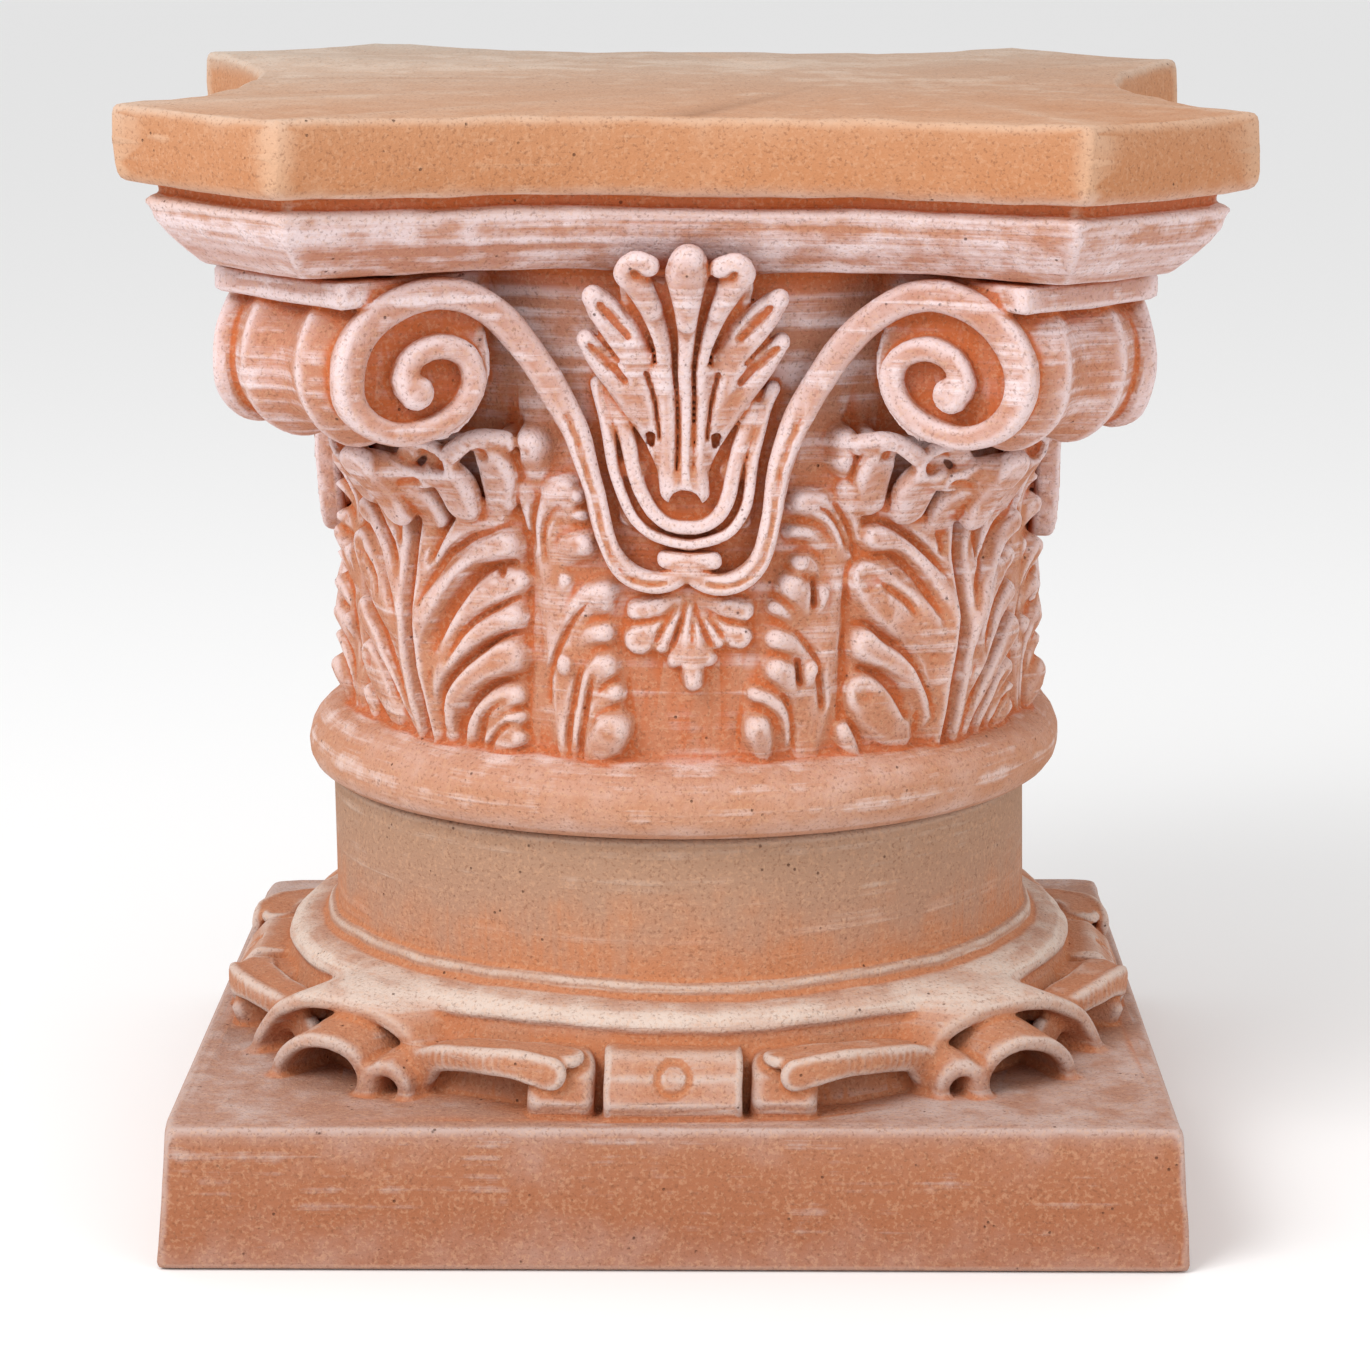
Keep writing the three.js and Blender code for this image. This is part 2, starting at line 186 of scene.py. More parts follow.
# %% Skinning the clay
CORNERS = [(i, j, k) for i in (0, 1) for j in (0, 1) for k in (0, 1)]
CELL_EDGES = [(a, b) for a in CORNERS for b in CORNERS if sum(b) == sum(a) + 1
              and all(q >= p for p, q in zip(a, b))]


def skin(gap):
    """Vertices in lattice steps and quads of the surface where gap is zero. The first and last rows
    of the first axis belong to the neighbouring copies, so quads across their outer edges are left out."""
    shape = tuple(n - 1 for n in gap.shape)
    inside = gap < 0
    count = np.zeros(shape, np.int8)
    for i, j, k in CORNERS:
        count += inside[i:i + shape[0], j:j + shape[1], k:k + shape[2]]
    cells = np.argwhere((count > 0) & (count < 8))
    number = np.full(shape, -1, np.int32)
    number[tuple(cells.T)] = np.arange(len(cells))
    total = np.zeros((len(cells), 3))
    hits = np.zeros(len(cells))
    for a, b in CELL_EDGES:
        ga = gap[tuple((cells + a).T)].astype(float)
        gb = gap[tuple((cells + b).T)].astype(float)
        crossed = (ga < 0) != (gb < 0)
        t = np.where(crossed, ga / np.where(crossed, ga - gb, 1), 0)
        place = np.asarray(a) + t[:, None] * (np.asarray(b) - np.asarray(a))
        total += place * crossed[:, None]
        hits += crossed
    vertices = cells + total / hits[:, None]
    quads = []
    for axis in range(3):
        start = [1, 1, 1]
        stop = [n - 1 for n in gap.shape]
        if axis:
            start[axis] = 0
        low = tuple(slice(p, q) for p, q in zip(start, stop))
        high = tuple(slice(p + (n == axis), q + (n == axis)) for n, (p, q) in enumerate(zip(start, stop)))
        here, there = inside[low], inside[high]
        base = np.argwhere(here != there) + start
        leaves = here[here != there]
        ring = []
        for du, dv in ((0, 0), (-1, 0), (-1, -1), (0, -1)):
            cell = base.copy()
            cell[:, (axis + 1) % 3] += du
            cell[:, (axis + 2) % 3] += dv
            ring.append(number[tuple(cell.T)])
        ring = np.stack(ring, 1)
        ring[~leaves] = ring[~leaves][:, ::-1]
        quads.append(ring)
    return vertices, np.vstack(quads)


def mesh_from(name, vertices, quads):
    """A mesh object from arrays, with only the vertices that its quads use."""
    used = np.unique(quads)
    renumber = np.zeros(len(vertices), np.int32)
    renumber[used] = np.arange(len(used))
    mesh = bpy.data.meshes.new(name)
    mesh.vertices.add(len(used))
    mesh.vertices.foreach_set("co", vertices[used].astype(np.float32).ravel())
    mesh.loops.add(quads.size)
    mesh.loops.foreach_set("vertex_index", renumber[quads].ravel())
    mesh.polygons.add(len(quads))
    mesh.polygons.foreach_set("loop_start", np.arange(0, quads.size, 4, dtype=np.int32))
    mesh.polygons.foreach_set("loop_total", np.full(len(quads), 4, np.int32))
    mesh.update(calc_edges=True)
    piece = bpy.data.objects.new(name, mesh)
    bpy.context.scene.collection.objects.link(piece)
    return piece


# %% [markdown]
# ## Sizes of the capital
#
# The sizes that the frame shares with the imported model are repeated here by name. The bell is the
# plain round core, the astragal is the roll at its foot, and the abacus is the slab on top with its
# four hollow sides and cut-off horns.

# %% Sizes of the capital
CAPITAL_FOOT = 165.5
ASTRAGAL = [(152, 0), (157.5, 1.2), (161.6, 4), (164.4, 8.5), (165.3, 14), (164.6, 19.5),
            (162.3, 24.5), (158.4, 28.6), (154, 31.2), (150.4, 32.6)]
BELL_RADIUS = 147
BELL_TOP_RADIUS = 160
BELL_FLARE_FROM = 270
ABACUS_HALF = 227
HORN_HALF = 154
SIDE_DISH = 40
ABACUS_TOP = 464
SLAB_FOOT = 433
CAVETTO_FOOT = 401
SECTOR_COLUMNS = 212
CELL = 1.25
CORE = 128


def bell_radius(z):
    flare = np.clip((np.asarray(z, float) - BELL_FLARE_FROM) / (CAVETTO_FOOT - BELL_FLARE_FROM), 0, 1)
    return BELL_RADIUS + (BELL_TOP_RADIUS - BELL_RADIUS) * flare ** 1.5


def face_depth(x):
    """How far out the stalks and scrolls of a face stand: hollow, like the side of the abacus."""
    return 158 + 37 * (np.asarray(x, float) / 143) ** 2


def face_normal(p):
    slope = 2 * 37 * p[0] / 143 ** 2
    return np.array([-slope, 1, 0]) / math.hypot(slope, 1)


# %% [markdown]
# ## The block for one face
#
# The four faces are alike, so only a quarter is carved. The lattice fans out from the axis rather
# than being square: copies turned by a quarter then meet point for point on the diagonals.

# %% One face of the capital as a block of clay
angles = np.radians(-45 + 90 / SECTOR_COLUMNS * np.arange(SECTOR_COLUMNS))[:, None]
radii = np.arange(CORE, 279, CELL)[None, :]
levels = np.arange(CAPITAL_FOOT - 2.6 * CELL, ABACUS_TOP + 3 * CELL, CELL)
face = Clay(np.sin(angles) * radii, np.cos(angles) * radii, levels)
print("lattice of one face:", face.gap.shape)

# %% [markdown]
# ## Bell, astragal and abacus
#
# Potters would turn the bell and run the abacus with a template, a board cut to the profile. Here
# the profile is an outline in two directions, swept by a plan: the distance from the axis for the
# bell, and the distance from the hollow-sided outline for the abacus.

# %% Bell and astragal
bell_heights = [ASTRAGAL[-1][1] + CAPITAL_FOOT + 3, 240, 270, 300, 330, 360, 385, CAVETTO_FOOT + 6]
turned = [(0, CAPITAL_FOOT)] + [(r, CAPITAL_FOOT + rise) for r, rise in ASTRAGAL]
turned += [(float(bell_radius(z)), z) for z in bell_heights] + [(0, CAVETTO_FOOT + 6)]
sweep(face, np.hypot(face.x, face.out), turned)


# %% The abacus
def side_point(t):
    """A point on the hollow side, from one horn to the other as t runs from -1 to 1."""
    return HORN_HALF * t, ABACUS_HALF - SIDE_DISH * (1 - t * t)


def abacus_plan(x, out):
    """Distance outside the abacus outline, for points on one face."""
    hollow = [side_point(t) for t in np.linspace(-1, 1, 33)]
    outline = [(-ABACUS_HALF, HORN_HALF)] + hollow + [(ABACUS_HALF, HORN_HALF)]
    outline += [(ABACUS_HALF - SIDE_DISH, 0), (0, -100), (-ABACUS_HALF + SIDE_DISH, 0)]
    return outline_gap(x, out, outline)


slab_edge = [(-400, ABACUS_TOP), (-3.2, ABACUS_TOP), (-1.2, ABACUS_TOP - 1), (-0.2, ABACUS_TOP - 3.4),
             (0.2, 450), (0, 441), (-0.8, 436.5), (-3, SLAB_FOOT + 0.6), (-6, SLAB_FOOT),
             (-13.5, 432.4), (-14, 428.6), (-11.5, 427.6), (-9.8, 426.6), (-9.6, 424.6)]
cavetto = [(-10.6 - 16 * t ** 1.7, 424 - (424 - CAVETTO_FOOT - 1.5) * t) for t in np.linspace(0.05, 1, 9)]
sweep(face, abacus_plan(face.x, face.out), slab_edge + cavetto + [(-28, CAVETTO_FOOT), (-400, CAVETTO_FOOT)])

# %% [markdown]
# ## Leaves
#
# The acanthus leaves lie close to the bell. On the real piece they were pressed as lobes and then cut
# with a wire tool. They are drawn here on an unrolled sheet, angle across and height up: each lobe is
# a curved roll with its own width, some hollowed like a spoon, and each crease is a groove. The
# height of the sheet is then added to the radius of the bell. The two halves of the big corner leaf
# come from different hands, so they are drawn one by one.

# %% A sheet of leaf carving
ARC = 152 * math.pi / 180


class Sheet:
    """Height of the leaf carving over the bell, at each angle and height of the face."""

    def __init__(self, clay, degrees):
        self.across = degrees * ARC
        self.z = clay.z
        self.rise = np.zeros((len(degrees), len(clay.z)), np.float32)

    def _stroke(self, path, profile, target):
        across = path[:, 0] * ARC
        for n in range(len(path) - 1):
            ax, az, aw, ah = across[n], path[n, 1], path[n, 2], path[n, 3]
            bx, bz, bw, bh = across[n + 1], path[n + 1, 1], path[n + 1, 2], path[n + 1, 3]
            reach = max(aw, bw)
            i = np.searchsorted(self.across, (min(ax, bx) - reach, max(ax, bx) + reach))
            k = np.searchsorted(self.z, (min(az, bz) - reach, max(az, bz) + reach))
            if i[0] == i[1] or k[0] == k[1]:
                continue
            s = self.across[i[0]:i[1], None]
            z = self.z[None, k[0]:k[1]]
            length = (bx - ax) ** 2 + (bz - az) ** 2 + 1e-6
            t = np.clip(((s - ax) * (bx - ax) + (z - az) * (bz - az)) / length, 0, 1)
            away = np.hypot(s - ax - (bx - ax) * t, z - az - (bz - az) * t)
            v = np.minimum(away / (aw + (bw - aw) * t), 1)
            here = target[i[0]:i[1], k[0]:k[1]]
            np.maximum(here, (ah + (bh - ah) * t) * profile(v), out=here)

    def lobe(self, points, root, tip, hollow=0.0):
        """A roll of clay through (angle, height, half width), rising from `root` to `tip`."""
        path = spline([(a, z, w, 0) for a, z, w in points], 2.0)
        run = np.linspace(0, 1, len(path))
        path[:, 3] = root + (tip - root) * run ** 1.3
        path[:, 2] = np.maximum(path[:, 2] * 1.12, 0.5)

        def profile(v):
            wall = np.sqrt(1 - v ** 3.2)
            return wall * (1 - hollow * np.clip(1 - (v / 0.72) ** 2, 0, 1))

        self._stroke(path, profile, self.rise)

    def crease(self, points, depth):
        """A groove through (angle, height, half width)."""
        path = spline([(a, z, w, 0) for a, z, w in points], 2.0)
        run = np.linspace(0, 1, len(path))
        path[:, 3] = 1.25 * depth * np.clip(4 * np.minimum(run, 1 - run) + 0.35, 0, 1)
        path[:, 2] = np.maximum(path[:, 2] * 1.15, 0.6)
        groove = np.zeros_like(self.rise)
        self._stroke(path, lambda v: (1 - v * v) ** 0.8, groove)
        self.rise -= groove

    def fill(self, low, high, share=0.78):
        """Raises the ground between the lobes from one angle to another: the leaf is one sheet."""
        ground = self.rise
        box = np.ones(9) / 9
        for axis in (0, 1, 0, 1):
            ground = np.apply_along_axis(np.convolve, axis, ground, box, "same")
        between = (degrees >= low) & (degrees <= high)
        self.rise[between] = np.maximum(self.rise, ground * share)[between]


degrees = np.degrees(angles[:, 0])
leaves = Sheet(face, degrees)

# %% The corner leaf, left half
for points, root, tip, hollow in (
    ([(-43, 260, 3), (-41.4, 273, 4), (-38.8, 284, 5.5), (-35.6, 291.5, 6.5), (-32.4, 296.6, 7.4),
      (-30.2, 299.4, 6.6)], 5, 10, 0.42),
    ([(-44, 232, 3), (-43.2, 244, 4), (-41.2, 255, 4.6), (-38.7, 264, 5), (-35.2, 274, 5.2),
      (-31.6, 282.5, 6.2), (-28.4, 285.8, 6.6)], 5, 12, 0),
    ([(-40.8, 232, 2.5), (-39.4, 243, 3.5), (-37.2, 253, 4.6), (-34.4, 260, 5.4), (-31, 265.6, 5.8),
      (-28, 269.6, 5.6), (-26.8, 271, 4.6)], 4, 9, 0.1),
    ([(-41.3, 214, 2.5), (-40.2, 225, 3.4), (-38, 235.5, 4), (-34.8, 244.5, 4.6), (-31, 251.4, 5),
      (-27.6, 256, 5.4)], 4, 9, 0),
    ([(-40, 199, 3.4), (-39.6, 209, 4.5), (-38, 218.5, 5.2), (-35, 227, 6.2), (-31.4, 234.4, 7.4),
      (-28.2, 239.4, 8)], 4, 11, 0),
    ([(-36.6, 198, 3), (-35.6, 206.5, 4), (-33.2, 214, 5), (-30, 219.6, 5.6), (-27.4, 222.4, 4.6)], 4, 8, 0),
    ([(-33.2, 197, 3), (-31.2, 204.5, 3.8), (-28.6, 209.7, 4.3), (-27, 213, 3.8)], 4, 8, 0),
    ([(-32, 197, 3), (-29.2, 200.4, 4.4), (-26.8, 204.2, 4)], 4, 7, 0),
    ([(-43.6, 283, 3), (-42, 293, 4), (-40, 302, 5), (-37.8, 311, 5)], 4, 9, 0),
):
    leaves.lobe(points, root, tip, hollow)
leaves.fill(-45, -26)

for points, depth in (
    ([(-41, 277, 1.6), (-40, 287, 2.5), (-38.2, 296, 3), (-36.6, 303, 4), (-35.3, 311, 5)], 7),
    ([(-30.4, 291.5, 0.8), (-33.8, 288.5, 1.2), (-36.3, 284, 1.4), (-38.3, 279.5, 1.4), (-40.2, 272, 1.5),
      (-42, 264, 1.5), (-43.4, 256, 1.3), (-44.1, 246, 1.1), (-44.3, 236, 0.9)], 5),
    ([(-27.5, 279, 1.2), (-31.5, 276.8, 2.2), (-34.5, 270.5, 2.8), (-36.8, 262, 3), (-39, 252, 2.8),
      (-41, 241, 2.6), (-41.7, 236, 2)], 10),
    ([(-26.2, 265, 0.8), (-28.8, 261.5, 1), (-32, 257, 1.1), (-34.7, 250.5, 1.1), (-37, 242, 1.1),
      (-38.6, 235, 1)], 4),
    ([(-25.5, 250.5, 1), (-29.8, 246.5, 1.4), (-33.2, 240, 1.6), (-36.2, 232.5, 1.6), (-38.8, 224, 1.7),
      (-40.6, 215, 2), (-41.4, 207, 2.4), (-41.3, 203, 2)], 7),
    ([(-26, 231.5, 1), (-30.5, 228, 1.6), (-33, 222.5, 1.8), (-35.2, 215, 1.7), (-36.8, 207.5, 1.4),
      (-37.5, 200, 1.1)], 6),
    ([(-36.4, 216, 0.8), (-38, 208, 0.9), (-38, 200, 0.8)], 3),
    ([(-28.3, 220.3, 0.8), (-30.5, 217.3, 0.9), (-32.6, 211.8, 1), (-33.9, 204.5, 1), (-34.3, 197, 0.9)], 4),
    ([(-25.4, 218, 1), (-27.5, 215, 1)], 5),
    ([(-26.2, 211.8, 0.9), (-29.3, 208.3, 1), (-31.4, 203, 1), (-32.9, 197, 0.9)], 4),
    ([(-29.9, 275.2, 1.4), (-29.2, 271.8, 1.6)], 5),
    ([(-29.2, 266.4, 0.6), (-27.6, 268.4, 0.7)], 3),
):
    leaves.crease(points, depth)

# %% [markdown]
# ## The other half of the corner leaf
#
# The right half has fewer and broader lobes, some hollowed like a spoon. A mirrored left half would
# be quicker, but the two halves plainly aren't a pair.

# %% The corner leaf, right half
for points, root, tip, hollow in (
    ([(43, 266, 3), (42, 277, 5), (39.4, 287.5, 6.4), (36, 296, 7.4), (33, 302.4, 7.4)], 4, 8, 0.15),
    ([(44.2, 244, 2.6), (43.3, 256, 3.5), (41.3, 266.6, 4.4), (38.3, 275.4, 5), (34.8, 283, 5.6),
      (31.4, 288.2, 6.2), (29.6, 290, 5.6)], 4, 9, 0),
    ([(42.6, 239, 3), (40.2, 246.5, 6), (36.6, 254, 9), (33, 261.6, 10.4), (29.8, 269.6, 9.4),
      (28, 273.6, 7)], 4, 11, 0.5),
    ([(41, 204, 2.6), (40.5, 214, 3.5), (38.6, 224.5, 4.5), (35.5, 233, 5.5), (32, 239.8, 6.6),
      (28.8, 245.2, 7.2)], 4, 10, 0.05),
    ([(35.6, 202, 6), (33.8, 209, 8.6), (31.3, 216, 9.6), (29, 222.5, 8.4), (28.2, 225, 7)], 5, 9, 0.42),
    ([(27.6, 197, 3.5), (26.4, 204.5, 4.2), (25.7, 208.6, 3.6)], 5, 7, 0),
    ([(43.6, 280, 3.4), (42.6, 292, 4.4), (41.6, 303, 4.6)], 4, 8, 0),
):
    leaves.lobe(points, root, tip, hollow)
leaves.fill(26, 45)

for points, depth in (
    ([(41.8, 282, 2), (41.6, 289, 2.8), (40.2, 297, 3), (38.2, 303, 3.5), (35.5, 309, 4)], 8),
    ([(31.2, 296.5, 1.2), (34.3, 291.8, 1.6), (36.8, 286.8, 1.6), (39.1, 281.2, 1.6), (41.4, 274.6, 1.5),
      (43.3, 266.5, 1.4), (44.2, 256, 1.2), (44.3, 246, 1)], 5),
    ([(30, 282.8, 1), (32.6, 282.3, 1.6), (35.2, 277.8, 1.8), (37.6, 271, 1.8), (40.1, 260.3, 1.9),
      (42.2, 250.5, 1.9), (43.4, 243.5, 1.6)], 8),
    ([(30.2, 272, 0.9), (32.5, 267.5, 1.3), (35, 262, 1.5), (36.4, 256.5, 1.2)], 3),
    ([(26, 254.5, 1), (29, 253.8, 1.6), (32, 247.3, 1.8), (35, 241.3, 1.8), (37.2, 234.5, 1.8),
      (39, 227, 1.8), (40.3, 220, 1.5), (41, 212, 1.2)], 6),
    ([(28, 235.5, 1.2), (30.6, 233.5, 1.8), (33, 228, 2.2), (35.2, 220.5, 2.3), (36.8, 212, 2)], 8),
    ([(26.6, 212, 1), (28.4, 205, 1.4), (29.5, 198, 1.2)], 5),
    ([(40.6, 240, 0.8), (42, 230, 1), (42.3, 222, 1), (41.6, 213, 1), (40.4, 203, 1)], 4),
    ([(38.4, 213, 0.8), (39, 203, 0.8)], 3),
    ([(43.4, 238, 0.8), (43.6, 222, 0.9), (42.6, 206, 0.9)], 3),
):
    leaves.crease(points, depth)

# %% [markdown]
# ## The inner leaves
#
# A narrow leaf stands on either side of the stalks, with small blunt teeth towards the middle.
# Each tooth is a short lobe, and the creases between them run down to the ring.

# %% The inner leaves, left and right of the stalks
for points, root, tip in (
    ([(-17.4, 197, 6), (-18.4, 215, 7), (-19.4, 235, 7), (-20.4, 255, 7), (-21.4, 275, 7), (-21.8, 290, 7),
      (-21, 303, 6)], 4, 5),
    ([(-24.3, 293, 3), (-25.1, 310.4, 4)], 4, 8),
    ([(-22.6, 284, 4), (-21.6, 298, 5.4), (-19.8, 308, 6.4), (-18.2, 311, 5.4)], 5, 9),
    ([(-20.6, 296, 4), (-18, 306, 4.6), (-16.3, 308.6, 3.4)], 4, 9),
    ([(-19.6, 295, 3.4), (-17, 301, 3), (-15.7, 300.7, 2.4)], 4, 8),
    ([(-20, 280, 4), (-17.8, 287, 5.6), (-15.8, 288.6, 5.2)], 4, 10),
    ([(-20.6, 263, 4), (-19.3, 273, 3.2)], 4, 7),
    ([(-19.6, 249, 4), (-17.2, 260, 5), (-14.5, 267.6, 5.6), (-12.9, 269.6, 5)], 4, 10),
    ([(-15, 262, 3.4), (-12.5, 263.6, 2.5)], 4, 8),
    ([(-17.6, 246, 4), (-14.6, 251.5, 4.6), (-12.7, 252.6, 4.2)], 4, 9),
    ([(-19, 236, 3.2), (-19, 239, 3.2)], 7, 9),
    ([(-16, 221, 4), (-14.5, 232, 5.6), (-12.6, 238.4, 5.8)], 4, 10),
    ([(-15.6, 211, 4), (-13, 222, 4.6), (-10.9, 227.4, 4.2)], 4, 9),
    ([(-13.6, 199, 6), (-11.9, 207, 8), (-10.9, 212.6, 7.6)], 6, 12),
    ([(-25.5, 315, 5), (-26.8, 329.6, 4.6)], 6, 13),
    ([(-23.6, 315, 6), (-22.7, 329, 7)], 6, 16),
    ([(19.5, 197, 6), (20.5, 215, 7.4), (21.3, 232, 7.4), (22.2, 250, 7), (22.6, 265, 6), (23.6, 280, 5.6),
      (25, 292, 5)], 4, 5),
    ([(25.6, 283, 3), (24.7, 292, 4.4), (22.9, 300.4, 5.4), (20.4, 305.4, 6), (17.6, 307.4, 5)], 5, 10),
    ([(26.8, 290, 3.4), (26, 302, 5), (25.3, 311, 5.2)], 5, 10),
    ([(21.6, 288, 3), (18.9, 294, 3), (16.3, 295.5, 2.6)], 4, 9),
    ([(20.9, 276, 4), (18.4, 281.4, 4), (17.3, 281.9, 3.8)], 4, 10),
    ([(19.6, 257, 4.4), (17.6, 267.6, 5.6), (16, 273.4, 5.6)], 4, 11),
    ([(20.6, 256, 3), (20.9, 268.6, 3.4)], 4, 9),
    ([(17.6, 256, 3), (15.1, 262, 3), (13.6, 264.4, 2.7)], 4, 9),
    ([(19.6, 241, 4), (17.1, 247.5, 4.8), (14, 251.4, 4.4)], 4, 10),
    ([(17.6, 224, 5), (15.9, 234, 6), (14.1, 238.4, 5.2)], 4, 11),
    ([(19.1, 227, 3), (19.5, 237.4, 3.8)], 4, 10),
    ([(17.6, 203, 2.6), (16.7, 213, 3), (14.9, 221, 3.3), (12.3, 226.4, 3.2), (10.8, 227.4, 2.8)], 4, 9),
    ([(12.6, 201, 4.2), (12, 208, 5.6), (11.3, 213.4, 5.6)], 5, 11),
    ([(25.6, 317, 4.6), (24.2, 331, 5.6)], 6, 15),
    ([(27.6, 319, 4), (28.1, 331, 4.6)], 5, 11),
    ([(24.6, 317, 3), (23.6, 323, 4)], 8, 14),
):
    leaves.lobe(points, root, tip)
leaves.fill(-25, -9)
leaves.fill(9, 25)

for points, depth in (
    ([(-14.5, 267, 0.8), (-16.4, 261, 0.9), (-18.3, 253.5, 1), (-19.8, 246, 1), (-21, 238, 1.1),
      (-22, 230, 1.5),
      (-22, 222, 1.6)], 4),
    ([(-16.2, 237.5, 0.8), (-17, 229.5, 1), (-17.7, 221, 1), (-18.1, 211, 1), (-17.8, 198, 1)], 4),
    ([(-13.9, 235, 0.8), (-15, 226.5, 1), (-15.5, 218.5, 1), (-15.8, 208.5, 1), (-15.9, 198, 1)], 4),
    ([(-21.8, 309, 0.8), (-23.3, 302, 0.9), (-24.2, 294, 0.9), (-24.3, 284, 0.8)], 3),
    ([(-18.8, 305, 0.8), (-21.3, 297.5, 0.9), (-22.4, 289, 0.9), (-22.3, 280, 0.8)], 3),
    ([(-24.2, 324, 1), (-24.7, 335, 1.2)], 5),
    ([(25.8, 284, 0.8), (24.3, 294, 1), (21.9, 302.4, 1.1), (20, 304.6, 0.9)], 5),
    ([(26.8, 281, 0.8), (26, 292, 1), (23.8, 302, 1.1), (21.9, 307.4, 0.9)], 5),
    ([(18.7, 281.8, 1.2), (19.1, 282, 1.2)], 5),
    ([(19.5, 275.4, 0.8), (20, 263, 1.4)], 6),
    ([(17.3, 242, 0.9), (17.9, 231, 1.4)], 6),
    ([(15.2, 228, 0.7), (16.6, 218, 0.9), (17.4, 208, 0.9), (17.2, 200, 0.8)], 4),
    ([(17, 253.5, 0.8), (18.8, 248, 0.9), (20.2, 243, 0.9), (21.3, 236, 0.9)], 4),
    ([(20.8, 236, 0.8), (21.6, 227, 1.2), (21.8, 219, 1.3)], 5),
    ([(26.2, 322, 0.9), (26.3, 334, 1.1)], 5),
):
    leaves.crease(points, depth)

# %% [markdown]
# ## The palmette
#
# A small hanging fan of petals closes the gap below the tie. Its petals are thin, so they are lobes
# on the same sheet, drawn in millimetres across and turned into degrees.

# %% The palmette under the stalks
BROAD = 0.377
for points, root, tip, hollow in (
    ([(-1, 274, 1.6), (-8, 267, 3.4), (-15, 263.4, 4.2), (-20.5, 262, 3.8)], 5, 8, 0.5),
    ([(-1, 271, 1.6), (-7, 262, 4.8), (-13.5, 254.6, 6), (-19.5, 250, 5.6)], 5, 8, 0.5),
    ([(-1, 270, 1.6), (-4.6, 260, 3.4), (-9.6, 249.6, 3.8)], 5, 8, 0.4),
    ([(0.6, 272, 1.6), (1.6, 262, 4), (2, 252, 5.6), (2.6, 247, 6.2)], 5, 8, 0),
    ([(0, 262, 2), (-2.6, 250, 3), (-4.6, 242.6, 2.8)], 5, 8, 0.45),
    ([(3, 262, 2), (7, 250, 3), (9.2, 244, 3.2)], 5, 8, 0.3),
    ([(2.8, 252, 3.4), (3, 240, 4.6), (3.3, 233.6, 3.6)], 6, 9, 0),
    ([(2.6, 274, 1.6), (11, 267, 3.2), (18, 264, 4.2), (23.4, 262.6, 4)], 5, 8, 0.5),
    ([(2.6, 271, 1.6), (10, 261.4, 4.4), (17, 255, 5.4), (22.4, 252, 4.6)], 5, 8, 0.5),
    ([(3, 270, 1.6), (7.4, 260, 3.2), (12.2, 251, 3.4)], 5, 8, 0.4),
):
    leaves.lobe([(x * BROAD, z, w) for x, z, w in points], root, tip, hollow)
for points in (
    [(0, 270, 0.6), (-1.4, 262, 0.9), (-4, 254, 1.1), (-7, 246, 1.2)],
    [(2, 270, 0.6), (4.4, 262, 0.9), (8, 254, 1.1), (12, 247, 1.2)],
    [(1.4, 268, 0.5), (2.4, 258, 0.6), (2.6, 250, 0.6)],
    [(-3, 265, 0.5), (-9, 257.6, 0.8), (-13.6, 247, 0.9)],
    [(5, 265, 0.5), (11.4, 257.6, 0.8), (17.2, 249, 0.9)],
    [(-4, 266, 0.5), (-11, 260, 0.8), (-21, 257.4, 1)],
    [(6, 266, 0.5), (14, 260.4, 0.8), (24, 257.6, 1)],
):
    leaves.crease([(x * BROAD, z, w) for x, z, w in points], 4)

# %% [markdown]
# ## Midrib, and pressing the leaves on
#
# The leaf swells along the diagonal with one deep channel down its middle. The whole sheet is then
# added to the bell at once, which is far cheaper than pressing hundreds of lobes in three dimensions.

# %% The midrib of the corner leaf, and the sheet pressed on the bell
height = face.z[None, :]
corner = 45 - np.abs(degrees)[:, None]
swell = np.interp(height, (197, 212, 232, 255, 275, 296, 312), (1, 6, 11, 13.5, 10, 6, 10))
swell = swell * np.exp(-(corner / 10.5) ** 2) * (height < 330)
stem = np.interp(height, (197, 240, 300, 316), (5, 4.5, 3.5, 3)) * np.clip(1.6 - corner / 3.6, 0, 1)
leaves.rise = np.maximum(leaves.rise, stem * (height < 322))
channel = np.interp(height, (197, 215, 260, 300, 312), (1.3, 1.5, 1.25, 1.5, 2.6))
middle = np.clip(1 - (corner / channel) ** 2, 0, 1)
leaves.rise -= 7 * middle * (height < 316)
leaves.rise = np.maximum(leaves.rise, -3) + swell
for axis in (0, 1):
    width = [(1, 1) if n == axis else (0, 0) for n in (0, 1)]
    padded = np.pad(leaves.rise, width, "edge" if axis else "wrap")
    a, b, c = (np.take(padded, np.arange(n, n + leaves.rise.shape[axis]), axis) for n in (0, 1, 2))
    leaves.rise = (a + 2 * b + c) / 4
on = (height > 190) & (height < 345)
surface = bell_radius(face.z)[None, :] + np.where(on & (leaves.rise != 0), leaves.rise, -6)
sheet = (radii[0][None, :, None] - surface[:, None, :]) * 0.75
whole = (slice(None),) * 3
foot = np.maximum(ASTRAGAL[-1][1] + CAPITAL_FOOT - 4 - face.z, 0)[None, None, :]
foot = foot + np.maximum(face.z - 350, 0)[None, None, :]
face.add(whole, (sheet + foot * 2).astype(np.float32), 1.0)
print("leaf carving: rises up to", round(float(leaves.rise.max()), 1), "mm over the bell")

# %% [markdown]
# ## Stalks and scrolls
#
# Two flat stalks rise from a tie over the palmette, lean apart, and wind up under the horns. On the
# real capital each was a strip of clay bent into a mould. A curve with a bevel would give a round
# rope, so the strip is pressed along the line as a flat roll that keeps facing out of the hollow face.

